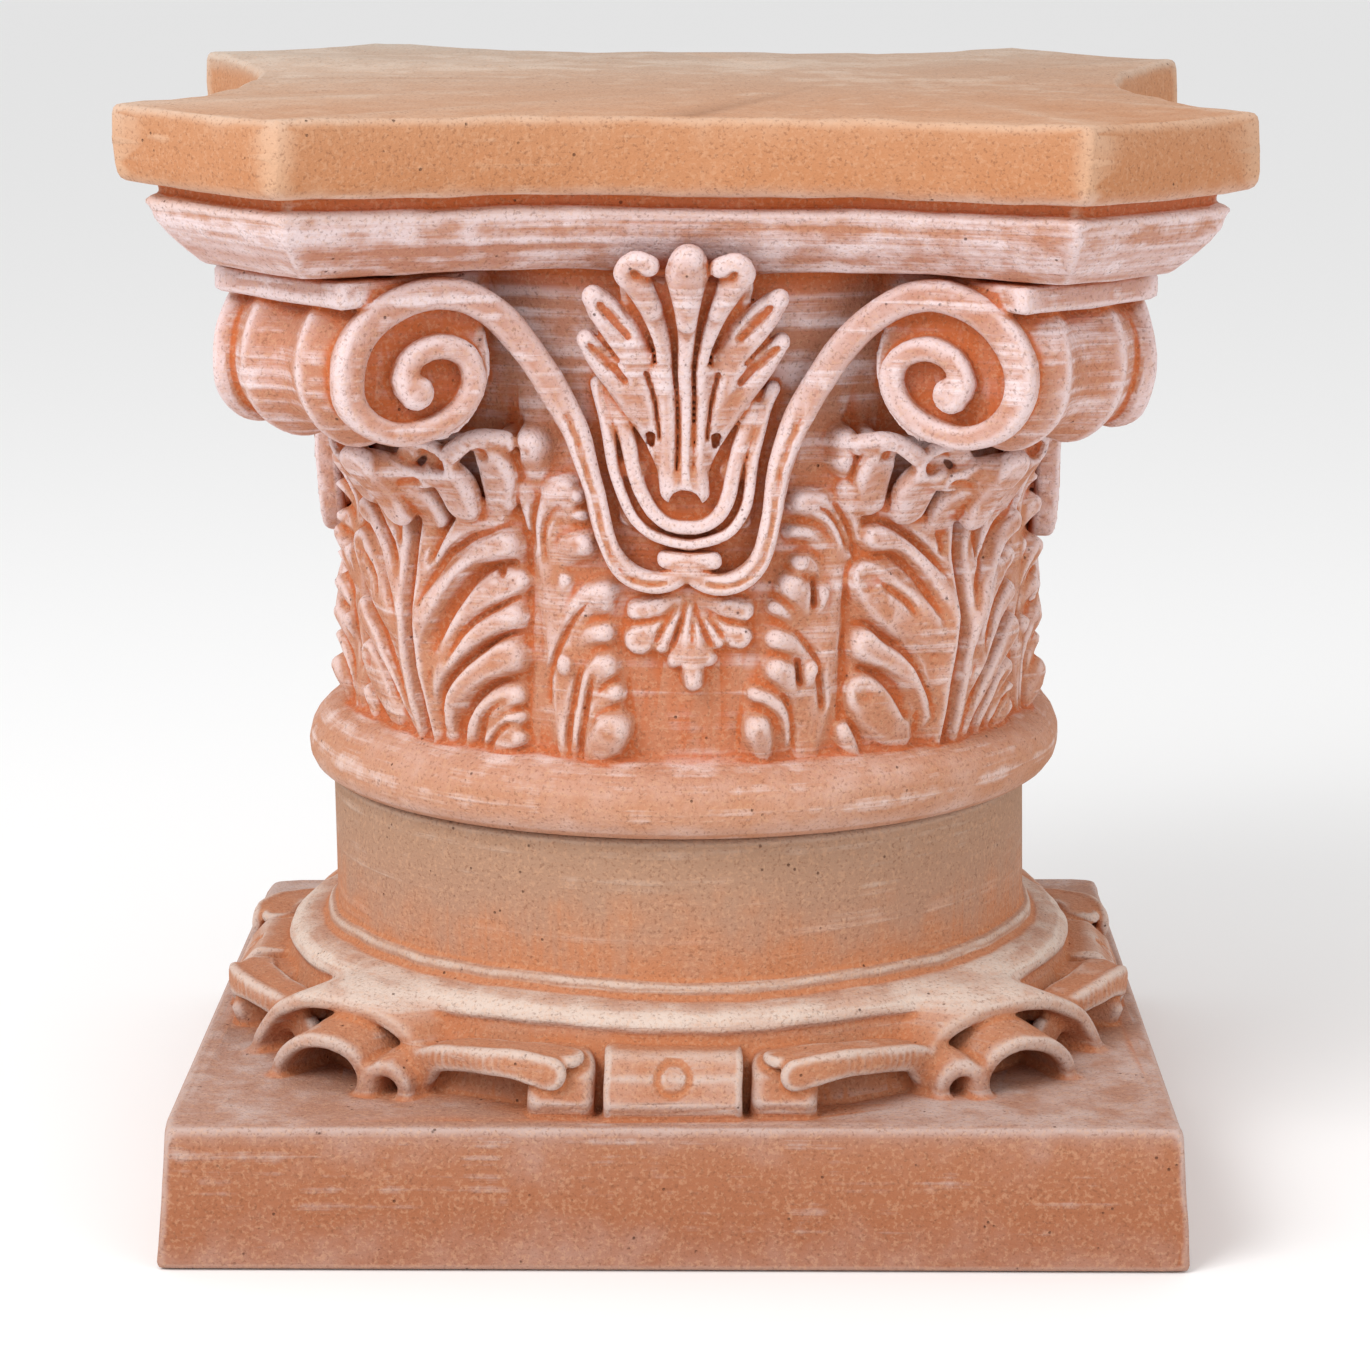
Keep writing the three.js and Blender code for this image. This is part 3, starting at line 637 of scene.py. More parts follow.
# %% Corner scrolls
SCROLL_LINE = [(1.5, 281, 3), (5, 277.3, 4), (12, 275, 4.3), (20, 276.3, 4.3), (27, 281.5, 4.3),
               (31.5, 290, 4),
               (34.5, 302, 4), (36.5, 313, 4.2), (39.5, 325, 4.8), (43.5, 337, 5.5), (49, 348, 6),
               (56, 360, 6.2),
               (64, 371.5, 6.2), (74, 382.5, 6.2), (86, 390, 6.3), (99, 392.5, 6.4), (113, 389.5, 6.6),
               (124.5, 381, 6.8), (131.5, 368, 6.8), (131.5, 353, 6.2), (123.5, 342, 5.2), (111, 337.5, 4.8),
               (98, 340, 4.6), (88, 347, 4.6), (83, 357, 4.8), (86, 367, 4.8), (96, 371.5, 4.8),
               (106.5, 368, 5), (110, 359.5, 5.5), (105.5, 354, 7)]
SCROLL_AXIS = (198, 364)
SCROLL_RADIUS = 34.5
whole = (slice(None),) * 3
x, out, z = face.x[..., None], face.out[..., None], face.z[None, None, :]
along_diagonal = (np.abs(x) + out) / math.sqrt(2)
across_diagonal = np.abs(out - np.abs(x)) / math.sqrt(2)


def box_gap(*sides, soft=3.0):
    """Distance to a box, from the distances past each pair of its sides, with soft edges."""
    past = [s + soft for s in sides]
    outer = np.sqrt(sum(np.maximum(p, 0) ** 2 for p in past))
    nearest = past[0]
    for p in past[1:]:
        nearest = np.maximum(nearest, p)
    return outer + np.minimum(nearest, 0) - soft


waist = np.abs(np.sin(np.pi * (across_diagonal - 17) / 34)) ** 1.3
barrel = np.hypot(along_diagonal - SCROLL_AXIS[0], z - SCROLL_AXIS[1]) - SCROLL_RADIUS + 6 * waist
behind_face = out - face_depth(x)
barrel = np.maximum(barrel, (behind_face + 9.5) * 0.9)
face.add(whole, barrel, 2)
neck = box_gap(across_diagonal - 38, along_diagonal - 198, np.abs(z - 376) - 27)
face.add(whole, neck, 2)
cushion = box_gap(across_diagonal - 41, along_diagonal - 229, np.abs(z - 394) - 5.5, soft=2.5)
face.add(whole, cushion, 1.5)

for side in (-1, 1):
    line = spline([(side * px, 0, pz, w, 5.6) for px, pz, w in SCROLL_LINE], 4)
    line[:, 1] = face_depth(line[:, 0]) - line[:, 4]
    line[-3:, 1] += (0.5, 1.2, 2)
    roll(face, line, face_normal, 1.2, soft=0.75)
    inner_edge = line[(line[:, 2] < 345) & (np.arange(len(line)) < len(line) // 2)]
    groove = inner_edge.copy()
    groove[:, 0] += side * 0.5
    groove[:, 1] += 5.6
    groove[:, 3:] = (0.9, 1.2)
    roll(face, groove[3:], face_normal, 0.6, cut=True)
print("scrolls wound; the barrel under each horn is", 2 * SCROLL_RADIUS, "mm across")

# %% [markdown]
# ## The curling tips of the corner leaves
#
# Above its midrib each corner leaf turns outward under the scroll in a thick ruffled lip. The lip is a
# roll that follows the turned edge, with pods pressed on it and spoon-shaped hollows cut into them.

# %% Leaf tips
def tip_normal(p):
    flat = np.array([p[0], p[1]]) / math.hypot(p[0], p[1])
    return np.array([flat[0] * 0.8, flat[1] * 0.8, -0.6])


def press(points, facing=tip_normal, reach=1.5, cut=False, soft=0.8):
    roll(face, spline(points, 4), facing, reach, cut, soft)


for side in (-1, 1):
    press([(side * 103, 119, 296, 7, 4), (side * 108, 122, 304, 9, 4.5), (side * 116, 126, 311, 9, 4.5),
           (side * 125, 131, 317, 8, 4)])
    press([(side * 118, 118, 298, 7, 5), (side * 122, 122, 307, 9, 5), (side * 127, 127, 314, 10, 5),
           (side * 132, 132, 319, 9, 4)])
    press([(side * 90, 131, 302, 8, 5), (side * 93, 136, 311, 9, 5), (side * 98, 140, 318, 8, 4.5)])
    press([(side * 74, 136, 306, 7, 5), (side * 75, 141, 316, 8, 5), (side * 78, 146, 325, 7, 4.5)])
for side in (-1, 1):
    press([(side * 72, 149, 330, 5, 3), (side * 82, 151, 331, 5, 3), (side * 92, 148, 326, 5, 3),
           (side * 99, 142, 318, 4, 3), (side * 104, 137, 314, 4, 3)])
    press([(side * 96, 144, 319, 5, 3), (side * 101, 143, 326, 5, 3), (side * 109, 138, 327, 5, 3),
           (side * 114, 133, 320, 4, 3)])
    press([(side * 108, 136, 314, 5, 3.4), (side * 117, 134, 318, 5, 3.4), (side * 126, 132, 320, 5, 3.6),
           (side * 132, 131, 320, 5, 3.6)])
    press([(side * 101, 146, 320, 4, 6), (side * 106, 144, 321, 4, 6)], cut=True)
    press([(side * 84, 152, 323, 4, 6), (side * 90, 149, 319, 3.4, 6)], cut=True)
    press([(side * 112, 140, 309, 4.4, 6), (side * 117, 138, 308, 3.4, 6)], cut=True)

# %% [markdown]
# ## The middle of the face: bands, tie and flower
#
# Two thin bands make a U round the foot of the flower. The flower itself leans out of the hollow of
# the abacus: a seed-head on a stalk, with pairs of hooked petals that were cut open with a knife.

# %% Bands and tie
OUTER_BAND = [(-34, 355, 3), (-31.5, 345, 2.8), (-30, 335, 2.6), (-28.5, 325, 2.4), (-26.5, 315, 2.2),
              (-23.5, 306, 2.1), (-19, 299, 2), (-12, 294, 2), (0, 291.5, 2), (8, 292.5, 2), (14, 294.5, 2),
              (19, 298, 2), (24, 306, 2.1), (26.5, 316, 2.2), (28, 326, 2.4), (30, 336, 2.6), (33, 347, 2.8),
              (36, 354, 3)]
INNER_BAND = [(-28, 352, 3.5), (-25, 342, 3.3), (-22, 332, 3.2), (-20, 322, 3), (-17.5, 312, 2.9),
              (-13, 304, 2.8), (-7, 299.5, 2.7), (0, 298.5, 2.7), (7, 299, 2.7), (13, 303, 2.8),
              (17, 310, 2.9),
              (20, 320, 3), (22.5, 330, 3.2), (25.5, 340, 3.3), (28, 347, 3.5)]


def straight_out(_):
    return np.array([0, 1, 0])


for band, front in ((OUTER_BAND, 157.5), (INNER_BAND, 158.5)):
    press([(px, front - 4.5, pz, w, 4.5) for px, pz, w in band], straight_out, 1.2)
for side in (-1, 1):
    press([(side * 26, 150, 321, 4, 3.5), (side * 18, 151, 321, 4, 3.5)], straight_out)
    press([(side * 24, 150, 336, 6, 3), (side * 27, 152, 350, 6, 3)], straight_out)
tie = [(-8.5, 152.6, 284.6, 3.6, 5), (1, 153, 284.6, 3.6, 5), (10.5, 152.6, 284.6, 3.6, 5)]
press(tie, straight_out, 1.0)
press([(-6, 152, 276, 2.5, 4), (0, 152.4, 279, 2.8, 4.4), (6, 152, 276, 2.5, 4)], straight_out)
back = box_gap(np.abs(x) - 27 - (z - 300) * 0.06, out - 151, np.abs(z - 326) - 30, soft=4)
face.add(whole, back, 2)


# %% The flower
def flower_front(z):
    return 160 + 26 * np.clip((np.asarray(z, float) - 310) / 98, 0, 1.1) ** 1.6


def petal(points, drop=0.0, thick=5.0, reach=1.0, cut=False, soft=0.8, mirror=True, shift=0.0):
    """Presses a petal through (x, z, half width), and its mirror image, `drop` behind the front."""
    for side in (-1, 1) if mirror else (1,):
        path = spline([(side * px + shift, 0, pz, w, thick) for px, pz, w in points], 3)
        path[:, 1] = flower_front(path[:, 2]) - drop - (0 if cut else thick)
        roll(face, path, straight_out, reach, cut, soft)


lean = flower_front(face.z)[None, None, :]
body = box_gap(np.abs(x) - np.interp(z, (318, 340, 370, 400), (9, 15, 22, 27)), out - lean + 6.5,
               np.abs(z - 359) - 42, soft=5)
face.add(whole, body, 2)
petal([(6, 318, 3), (8.5, 335, 5.6), (12, 350, 7.4), (18, 364, 8), (25, 376, 7.8), (31.5, 386, 6.6),
       (36.5, 392, 4.4)], 3)
petal([(8, 324, 3), (12, 336, 5), (17.5, 347, 6.4), (24.5, 357, 6.4), (32, 366, 5.8), (38.5, 374, 3.8)], 4)
petal([(5, 313, 5), (5.5, 330, 4.6), (6.3, 350, 4.6), (8.5, 370, 4.4), (13.5, 388, 4.6),
       (18.5, 399, 5.5)], 0.5)
petal([(13, 388, 4.4), (19, 398, 5), (23.4, 403, 4.6), (20, 407, 4.4), (14, 405.6, 4.2)], -1, 5)
petal([(1.2, 309, 1.8), (1.2, 330, 1.9), (1.2, 350, 2.6), (1.3, 370, 3.4), (1.2, 385, 4.6)], -0.5, 5,
      mirror=False)
petal([(1.2, 384, 5), (1, 396, 7.6), (1, 404, 8.6), (1, 408, 7)], -4, 8, mirror=False, soft=0.95)
petal([(0, 312, 8), (0, 319, 9)], 1, 6, mirror=False)
petal([(22, 377, 1.8), (28, 383.5, 2.6), (33.5, 389, 1.7)], 1.5, 3.5, cut=True)
petal([(23, 358.5, 1.5), (30, 366, 2.3), (37, 372, 1.5)], 2.5, 3.5, cut=True)
petal([(25, 366.5, 0.6), (31, 373, 1.1), (37.5, 381, 1.6)], 3, 5, cut=True)
petal([(10.6, 366, 0.7), (12.5, 373, 1.1), (17, 382, 1.8), (23, 390.5, 2.4), (29, 397, 2.4)], 3, 6, cut=True)
petal([(3.4, 322, 0.5), (3.5, 350, 0.8), (4.4, 372, 1.2), (6.4, 386, 1.8), (9.6, 398, 2.4)], 0.5, 5,
      cut=True,
      shift=0.8)
petal([(9.4, 335, 0.6), (11.2, 350, 0.8), (14.4, 362, 1)], 2.5, 3, cut=True)
petal([(12.6, 331, 1), (13.2, 335, 2.2)], 3, 7, cut=True)
petal([(18.6, 401.6, 1.4), (19.6, 403, 1.5)], -2, 3, cut=True)
below = np.maximum(np.hypot(x * 0.8, z - 309) - 5, np.abs(out - 158) - 7)
face.cut(whole, below, 1.5)
print("flower stands out to", round(float(flower_front(405)) + 4, 1), "mm from the axis")

# %% [markdown]
# ## Four faces
#
# The potter pressed the same mould against all four sides. The skin of one face is therefore repeated
# round the axis with geometry nodes, and the edges that meet on the diagonals are welded.


# %% Skin of one face
clay = np.concatenate([face.gap[-1:], face.gap, face.gap[:1]])
rows, quads = skin(clay)
turn = np.radians(-45 + (rows[:, 0] - 1) * 90 / SECTOR_COLUMNS)
reach = CORE + rows[:, 1] * CELL
points = np.stack([np.sin(turn) * reach, -np.cos(turn) * reach, levels[0] + rows[:, 2] * CELL], 1)
capital = mesh_from("capital_cast", points, quads)
print("one face:", len(quads), "quads")


# %% Repeating and mirroring with geometry nodes
def tree_with(name, *inputs):
    """An empty geometry tree with named inputs, and its ends."""
    tree = bpy.data.node_groups.new(name, "GeometryNodeTree")
    tree.interface.new_socket("Geometry", in_out="INPUT", socket_type="NodeSocketGeometry")
    for label, kind, value in inputs:
        socket = tree.interface.new_socket(label, in_out="INPUT", socket_type=kind)
        if value is not None:
            socket.default_value = value
    tree.interface.new_socket("Geometry", in_out="OUTPUT", socket_type="NodeSocketGeometry")
    return tree, tree.nodes.new("NodeGroupInput"), tree.nodes.new("NodeGroupOutput")


def finish_tree(tree, start, end, geometry):
    """Realizes, welds and paints what the tree made."""
    real = tree.nodes.new("GeometryNodeRealizeInstances")
    weld = tree.nodes.new("GeometryNodeMergeByDistance")
    paint = tree.nodes.new("GeometryNodeSetMaterial")
    tree.links.new(geometry, real.inputs["Geometry"])
    tree.links.new(real.outputs["Geometry"], weld.inputs["Geometry"])
    tree.links.new(start.outputs["Weld distance"], weld.inputs["Distance"])
    tree.links.new(weld.outputs["Geometry"], paint.inputs["Geometry"])
    tree.links.new(start.outputs["Clay"], paint.inputs["Material"])
    tree.links.new(paint.outputs["Geometry"], end.inputs["Geometry"])


def round_the_axis():
    tree, start, end = tree_with("Repeat round the axis", ("Copies", "NodeSocketInt", 4),
                                 ("Weld distance", "NodeSocketFloat", 0.05),
                                 ("Clay", "NodeSocketMaterial", None))
    dots = tree.nodes.new("GeometryNodePoints")
    copies = tree.nodes.new("GeometryNodeInstanceOnPoints")
    index = tree.nodes.new("GeometryNodeInputIndex")
    share = tree.nodes.new("ShaderNodeMath")
    share.operation = "DIVIDE"
    angle = tree.nodes.new("ShaderNodeMath")
    angle.operation = "MULTIPLY"
    angle.inputs[1].default_value = 2 * math.pi
    turn = tree.nodes.new("ShaderNodeCombineXYZ")
    tree.links.new(start.outputs["Copies"], dots.inputs["Count"])
    tree.links.new(dots.outputs[0], copies.inputs["Points"])
    tree.links.new(start.outputs["Geometry"], copies.inputs["Instance"])
    tree.links.new(index.outputs[0], share.inputs[0])
    tree.links.new(start.outputs["Copies"], share.inputs[1])
    tree.links.new(share.outputs[0], angle.inputs[0])
    tree.links.new(angle.outputs[0], turn.inputs["Z"])
    tree.links.new(turn.outputs[0], copies.inputs["Rotation"])
    finish_tree(tree, start, end, copies.outputs[0])
    return tree


def four_quarters():
    tree, start, end = tree_with("Mirror in both planes", ("Weld distance", "NodeSocketFloat", 0.05),
                                 ("Clay", "NodeSocketMaterial", None))
    shape = start.outputs["Geometry"]
    for scale in ((-1, 1, 1), (1, -1, 1)):
        mirror = tree.nodes.new("GeometryNodeTransform")
        mirror.inputs["Scale"].default_value = scale
        flip = tree.nodes.new("GeometryNodeFlipFaces")
        join = tree.nodes.new("GeometryNodeJoinGeometry")
        tree.links.new(shape, mirror.inputs["Geometry"])
        tree.links.new(mirror.outputs["Geometry"], flip.inputs["Mesh"])
        tree.links.new(flip.outputs["Mesh"], join.inputs["Geometry"])
        tree.links.new(shape, join.inputs["Geometry"])
        shape = join.outputs["Geometry"]
    finish_tree(tree, start, end, shape)
    return tree


def built(piece, tree, **values):
    """Sets the tree's named inputs on a piece, evaluates it, and keeps the result as its mesh."""
    modifier = piece.modifiers.new(tree.name, "NODES")
    modifier.node_group = tree
    for item in tree.interface.items_tree:
        if item.in_out == "INPUT" and item.name in values:
            modifier[item.identifier] = values[item.name]
    evaluated = piece.evaluated_get(bpy.context.evaluated_depsgraph_get())
    mesh = bpy.data.meshes.new_from_object(evaluated)
    piece.modifiers.remove(modifier)
    old = piece.data
    piece.data = mesh
    bpy.data.meshes.remove(old)
    mesh.name = piece.name


def decimated(piece, triangles):
    """Keeps about this many triangles, most of them where the surface bends."""
    now = sum(len(p.vertices) - 2 for p in piece.data.polygons)
    modifier = piece.modifiers.new("fewer", "DECIMATE")
    modifier.ratio = min(1, triangles / now)
    mesh = bpy.data.meshes.new_from_object(piece.evaluated_get(bpy.context.evaluated_depsgraph_get()))
    piece.modifiers.remove(modifier)
    piece.data = mesh
    mesh.name = piece.name
    print(piece.name, "skin:", now, "triangles, kept:", sum(len(p.vertices) - 2 for p in mesh.polygons))


def close_up(piece):
    """Fills the flat holes left at the core, keeps only the outer shell and turns faces outward."""
    work = bmesh.new()
    work.from_mesh(piece.data)
    edges = [e for e in work.edges if e.is_boundary]
    made = bmesh.ops.holes_fill(work, edges=edges, sides=0)["faces"] if edges else []
    bmesh.ops.triangulate(work, faces=[f for f in work.faces if len(f.verts) > 4])
    bmesh.ops.recalc_face_normals(work, faces=work.faces)
    left = set(work.verts)
    shells = []
    while left:
        stack = [left.pop()]
        shell = list(stack)
        while stack:
            for e in stack.pop().link_edges:
                for v in e.verts:
                    if v in left:
                        left.remove(v)
                        shell.append(v)
                        stack.append(v)
        shells.append(shell)
    shells.sort(key=len)
    loose = [v for shell in shells[:-1] for v in shell]
    bmesh.ops.delete(work, geom=loose, context="VERTS")
    if work.calc_volume(signed=True) < 0:
        bmesh.ops.reverse_faces(work, faces=work.faces)
    faulty_edges = sum(not e.is_manifold for e in work.edges)
    print(piece.name, "holes filled:", len(made), "crumbs removed:", len(shells) - 1,
          "edges to mend:", faulty_edges)
    work.to_mesh(piece.data)
    work.free()

def mend(piece):
    """Cuts out the faces where more or fewer than two meet at an edge, and closes the holes again."""
    work = bmesh.new()
    work.from_mesh(piece.data)
    for _ in range(8):
        bad = [e for e in work.edges if len(e.link_faces) != 2]
        if not bad:
            break
        torn = list({f for e in bad for f in e.link_faces})
        bmesh.ops.delete(work, geom=torn, context="FACES_ONLY")
        bmesh.ops.delete(work, geom=[e for e in work.edges if not e.link_faces], context="EDGES")
        bmesh.ops.delete(work, geom=[v for v in work.verts if not v.link_faces], context="VERTS")
        rims = [e for e in work.edges if e.is_boundary]
        made = bmesh.ops.holes_fill(work, edges=rims, sides=0)["faces"]
        bmesh.ops.triangulate(work, faces=[f for f in made if len(f.verts) > 3])
    bmesh.ops.recalc_face_normals(work, faces=work.faces)
    if work.calc_volume(signed=True) < 0:
        bmesh.ops.reverse_faces(work, faces=work.faces)
    print(piece.name, "edges without two faces:", sum(len(e.link_faces) != 2 for e in work.edges))
    work.to_mesh(piece.data)
    work.free()


# %% [markdown]
# ## Joining, closing and thinning
#
# The joined skin has far more triangles than its flat parts need. Collapsing edges where the surface
# hardly bends keeps them for the carving, and a last step mends edges that don't have two faces.

# %% Four faces joined, closed and thinned out
clay_material = bpy.data.materials.new("capital clay")
built(capital, round_the_axis(), **{"Copies": 4, "Weld distance": 0.05, "Clay": clay_material})
close_up(capital)
decimated(capital, 194_000)
mend(capital)

# %% [markdown]
# ## The base
#
# The drum and its ring are turned, the plinth is a square slab, and a band of ribbon lies over the
# corner between them: a flat clasp on each side, a roll beside it, and a wave that ends in nested
# folds over each corner of the plinth. Each quarter is the mirror image of the next.

# %% One quarter of the base
STEP = 1.3
line = -STEP / 2 + STEP * np.arange(164)
base_levels = -2.4 * STEP + STEP * np.arange(134)
quarter = Clay(line[:, None] + 0 * line[None, :], line[None, :] + 0 * line[:, None], base_levels)
turned = [(-9, 40), (-9, 165.2), (150.4, 165.2), (152.4, 163.2), (152.4, 106.5), (155.2, 105.4),
          (156.6, 103),
          (156.6, 100.6), (158.5, 99.2), (163, 98.8), (168.5, 97.2), (172.6, 94.2), (173.8, 91),
          (172, 88.4), (174.5, 82), (180.5, 71), (184, 59), (184, 40)]
sweep(quarter, np.hypot(quarter.x, quarter.out), turned)
plinth = [(-9, 0), (207.6, 0), (209, 1.4), (207, 28), (205.2, 55.6), (203.8, 58.2), (201, 59), (-9, 59)]
past_edge = np.maximum(quarter.x, quarter.out)
sweep(quarter, past_edge + 0.8 * np.exp(-np.abs(quarter.x - quarter.out) / 3), plinth)


def band(points, facing, reach=1.2, swap=False, cut=False, soft=0.8):
    """Presses ribbon onto the quarter, or onto its neighbouring side when `swap` is set."""
    path = spline(points, 4)
    if swap:
        path[:, :2] = path[:, 1::-1].copy()
    roll(quarter, path, facing, reach, cut, soft)


def level(_):
    return np.array([0, 0, 1])


def outward(p):
    return np.array([p[0], p[1], 0]) / math.hypot(p[0], p[1])


qx, qo, qz = quarter.x[..., None], quarter.out[..., None], quarter.z[None, None, :]
front = np.interp(qz, (59, 66, 76, 85, 88), (196, 198.6, 194.5, 186, 182))
for side, ahead in ((qx, qo), (qo, qx)):
    quarter.add(whole, box_gap(np.abs(side) - 28, (ahead - front) * 0.9, np.abs(qz - 66) - 19, soft=2.4), 1)
    quarter.cut(whole, np.hypot(np.hypot(side, qz - 76) - 6.4, ahead - front) - 1.5)
    quarter.add(whole, box_gap(np.abs(side - 45.2) - 13.6, (ahead - front + 4) * 0.9, np.abs(qz - 64) - 19,
                               soft=5.5), 1)
for swap in (False, True):
    band([(50, 193, 78, 7, 2.8), (60, 191, 80, 6.4, 2.8), (73, 184, 80, 5.6, 2.8), (87, 173, 78, 5.4, 2.8),
          (98, 163, 75, 6, 2.8), (105, 156, 69, 9, 2.8)], outward, swap=swap)
    band([(44, 184, 82, 8, 2.4), (56, 182, 83, 8, 2.4), (70, 175, 82, 8, 2.4), (84, 165, 80, 8, 2.4),
          (96, 154, 76, 8, 2.4)], level, swap=swap)

# %% [markdown]
# ## The folds
#
# Over each corner the ribbon stands up in three arches, one inside another. Each is a run of rolls
# between its free rim and the line where it meets the ring.

# %% Nested folds over the corner
OUTER_RIM = [(104, 156, 59), (105, 155, 72), (111, 151, 82), (124, 142, 88), (142, 129, 89.5),
             (158, 116, 86),
             (170, 104, 77), (177, 97, 66), (179, 94, 58)]
OUTER_BACK = [(92, 142, 60), (93, 141, 76), (100, 138, 86), (112, 130, 92), (127, 117, 93), (138, 103, 90),
              (146, 92, 82), (150, 86, 70), (152, 84, 58)]
INNER_RIM = [(127, 158, 58), (127.5, 157, 67), (133, 155, 75.5), (144, 150, 79.5), (155, 142, 76),
             (163, 135, 68),
             (166, 131, 58)]
INNER_BACK = [(114, 140, 58), (115, 139, 70), (120, 136, 79), (130, 130, 83), (140, 122, 80), (147, 115, 72),
              (150, 110, 58)]
SMALL_RIM = [(110, 163, 58), (111, 163, 66), (117, 161.5, 71), (124, 160, 69), (127, 159, 58)]
SMALL_BACK = [(102, 150, 58), (103, 149, 68), (108, 148, 74), (114, 146, 71), (117, 144, 58)]
FOLDS = ((OUTER_RIM, OUTER_BACK, 5.6), (INNER_RIM, INNER_BACK, 4.6), (SMALL_RIM, SMALL_BACK, 4))
for rim, behind, wide in FOLDS:
    rim, behind = np.array(rim, float), np.array(behind, float)
    for share in (0, 0.2, 0.4, 0.6, 0.8, 1):
        row = rim * (1 - share) + behind * share
        row = np.hstack([row, np.full((len(row), 1), 2.6 if share else 3), np.full((len(row), 1), 2.6)])
        row[:, 2] += 1.5 * share * (1 - share)
        band(row, outward, reach=wide)
rows, quads = skin(quarter.gap)
points = np.stack([-STEP / 2 + rows[:, 0] * STEP, STEP / 2 - rows[:, 1] * STEP,
                   base_levels[0] + rows[:, 2] * STEP], 1)
points[rows[:, 0] < 1, 0] = 0
points[rows[:, 1] < 1, 1] = 0
base = mesh_from("base_cast", points, quads)
base_material = bpy.data.materials.new("base clay")
built(base, four_quarters(), **{"Weld distance": 0.05, "Clay": base_material})
close_up(base)
decimated(base, 150_000)
mend(base)

# %% [markdown]
# ## Where slip settled, where wash caught, and where shade is painted
#
# The slip ran into every hollow and the wash was dragged over what stands proud. How much clay lies
# within a few millimetres of each point of the skin tells one from the other: about half on a flat,
# more in a crease, less on an edge. Both values are kept as attributes for the shader, which also
# uses them to paint shade into the deepest creases and, together with the slip, into broad recesses.


# %% Hollow and proud, as attributes
def blurred(share, half, wrap):
    """Mean of the lattice over a box `half` steps each way."""
    for axis in range(3):
        width = [(half + 1, half) if n == axis else (0, 0) for n in range(3)]
        padded = np.pad(share, width, "wrap" if wrap and axis == 0 else "edge")
        total = np.cumsum(padded, axis, dtype=np.float64)
        size = share.shape[axis]
        high = np.take(total, np.arange(2 * half + 1, 2 * half + 1 + size), axis)
        low = np.take(total, np.arange(0, size), axis)
        share = ((high - low) / (2 * half + 1)).astype(np.float32)
    return share


def sampled(lattice, place):
    low = np.clip(place.astype(int), 0, np.array(lattice.shape) - 2)
    share = np.clip(place - low, 0, 1)
    value = 0
    for corner in CORNERS:
        weight = np.prod(np.where(corner, share, 1 - share), axis=1)
        value = value + weight * lattice[tuple((low + corner).T)]
    return value


def mark(piece, gap, place, wrap):
    solid = np.clip(0.5 - gap / STEP, 0, 1).astype(np.float32)
    for label, half in (("near", 2), ("wide", 6)):
        value = sampled(blurred(solid, half, wrap), place)
        attribute = piece.data.attributes.new(label, "FLOAT", "POINT")
        attribute.data.foreach_set("value", value.astype(np.float32))
        print(piece.name, label, "from", round(float(value.min()), 2), "to", round(float(value.max()), 2))


def coordinates(piece):
    flat = np.empty(3 * len(piece.data.vertices), np.float32)
    piece.data.vertices.foreach_get("co", flat)
    return flat.reshape(-1, 3).astype(float)


def settle(piece, points):
    """Writes the points back in metres, with the slow waver of clay that dried unevenly."""
    waver = np.zeros_like(points)
    for period, size in ((150, 0.9), (47, 0.35), (26, 0.2)):
        for axis in range(3):
            wave = np.sin(2 * math.pi / period * points + np.array([0.3, 1.7, 2.9]) * (axis + 1))
            waver[:, axis] += size * wave[:, (axis + 1) % 3] * wave[:, (axis + 2) % 3]
    steady = np.clip((np.abs(points[:, 2] - 165.35) - 1) / 20, 0, 1) * np.clip(points[:, 2] / 12, 0, 1)
    points = (points + waver * steady[:, None]) * MM
    piece.data.vertices.foreach_set("co", points.astype(np.float32).ravel())
    piece.data.polygons.foreach_set("use_smooth", np.ones(len(piece.data.polygons), bool))
    piece.data.update()


OFF_CENTRE = 4.4
BACK_SLOPE = math.tan(math.radians(0.9))
SIDE_SLOPE = math.tan(math.radians(0.4))
points = coordinates(capital)
bearing = np.degrees(np.arctan2(points[:, 0], -points[:, 1]))
column = np.mod(bearing + 45, 90) * SECTOR_COLUMNS / 90
place = np.stack([column, (np.hypot(points[:, 0], points[:, 1]) - CORE) / CELL,
                  (points[:, 2] - levels[0]) / CELL], 1)
mark(capital, np.concatenate([face.gap, face.gap[:1]]), place, True)
rise = np.clip((points[:, 2] - 185) / 60, 0, 1)
points[:, 0] += OFF_CENTRE * np.clip((points[:, 2] - 160) / 30, 0.3, 1)
points[:, 2] += rise * (points[:, 1] * BACK_SLOPE - points[:, 0] * SIDE_SLOPE)
settle(capital, points)

points = coordinates(base)
place = np.stack([(np.abs(points[:, 0]) + STEP / 2) / STEP, (np.abs(points[:, 1]) + STEP / 2) / STEP,
                  (points[:, 2] - base_levels[0]) / STEP], 1)
mark(base, quarter.gap, place, False)
settle(base, points)

# %% [markdown]
# ## Terracotta under lime wash
#
# A picture wrapped round the shape would smear, so both finishes are built from noise in
# the object's own space: slow patches where the wash is thicker, fine level streaks of the brush,
# sandy grain, and dark pinholes. They share one group, which also paints shade into the deepest
# creases and broad recesses; each material gives it its own colours.


# %% The wash, as a shader group
def node(tree, kind, **settings):
    made = tree.nodes.new(kind)
    for key, value in settings.items():
        if hasattr(made, key):
            setattr(made, key, value)
        else:
            made.inputs[key.replace("_", " ")].default_value = value
    return made


def math_node(tree, operation, a, b=None, c=None, clamp=False):
    made = tree.nodes.new("ShaderNodeMath")
    made.operation = operation
    made.use_clamp = clamp
    for socket, value in zip(made.inputs, (a, b, c)):
        if isinstance(value, (int, float)):
            socket.default_value = value
        elif value is not None:
            tree.links.new(value, socket)
    return made.outputs[0]


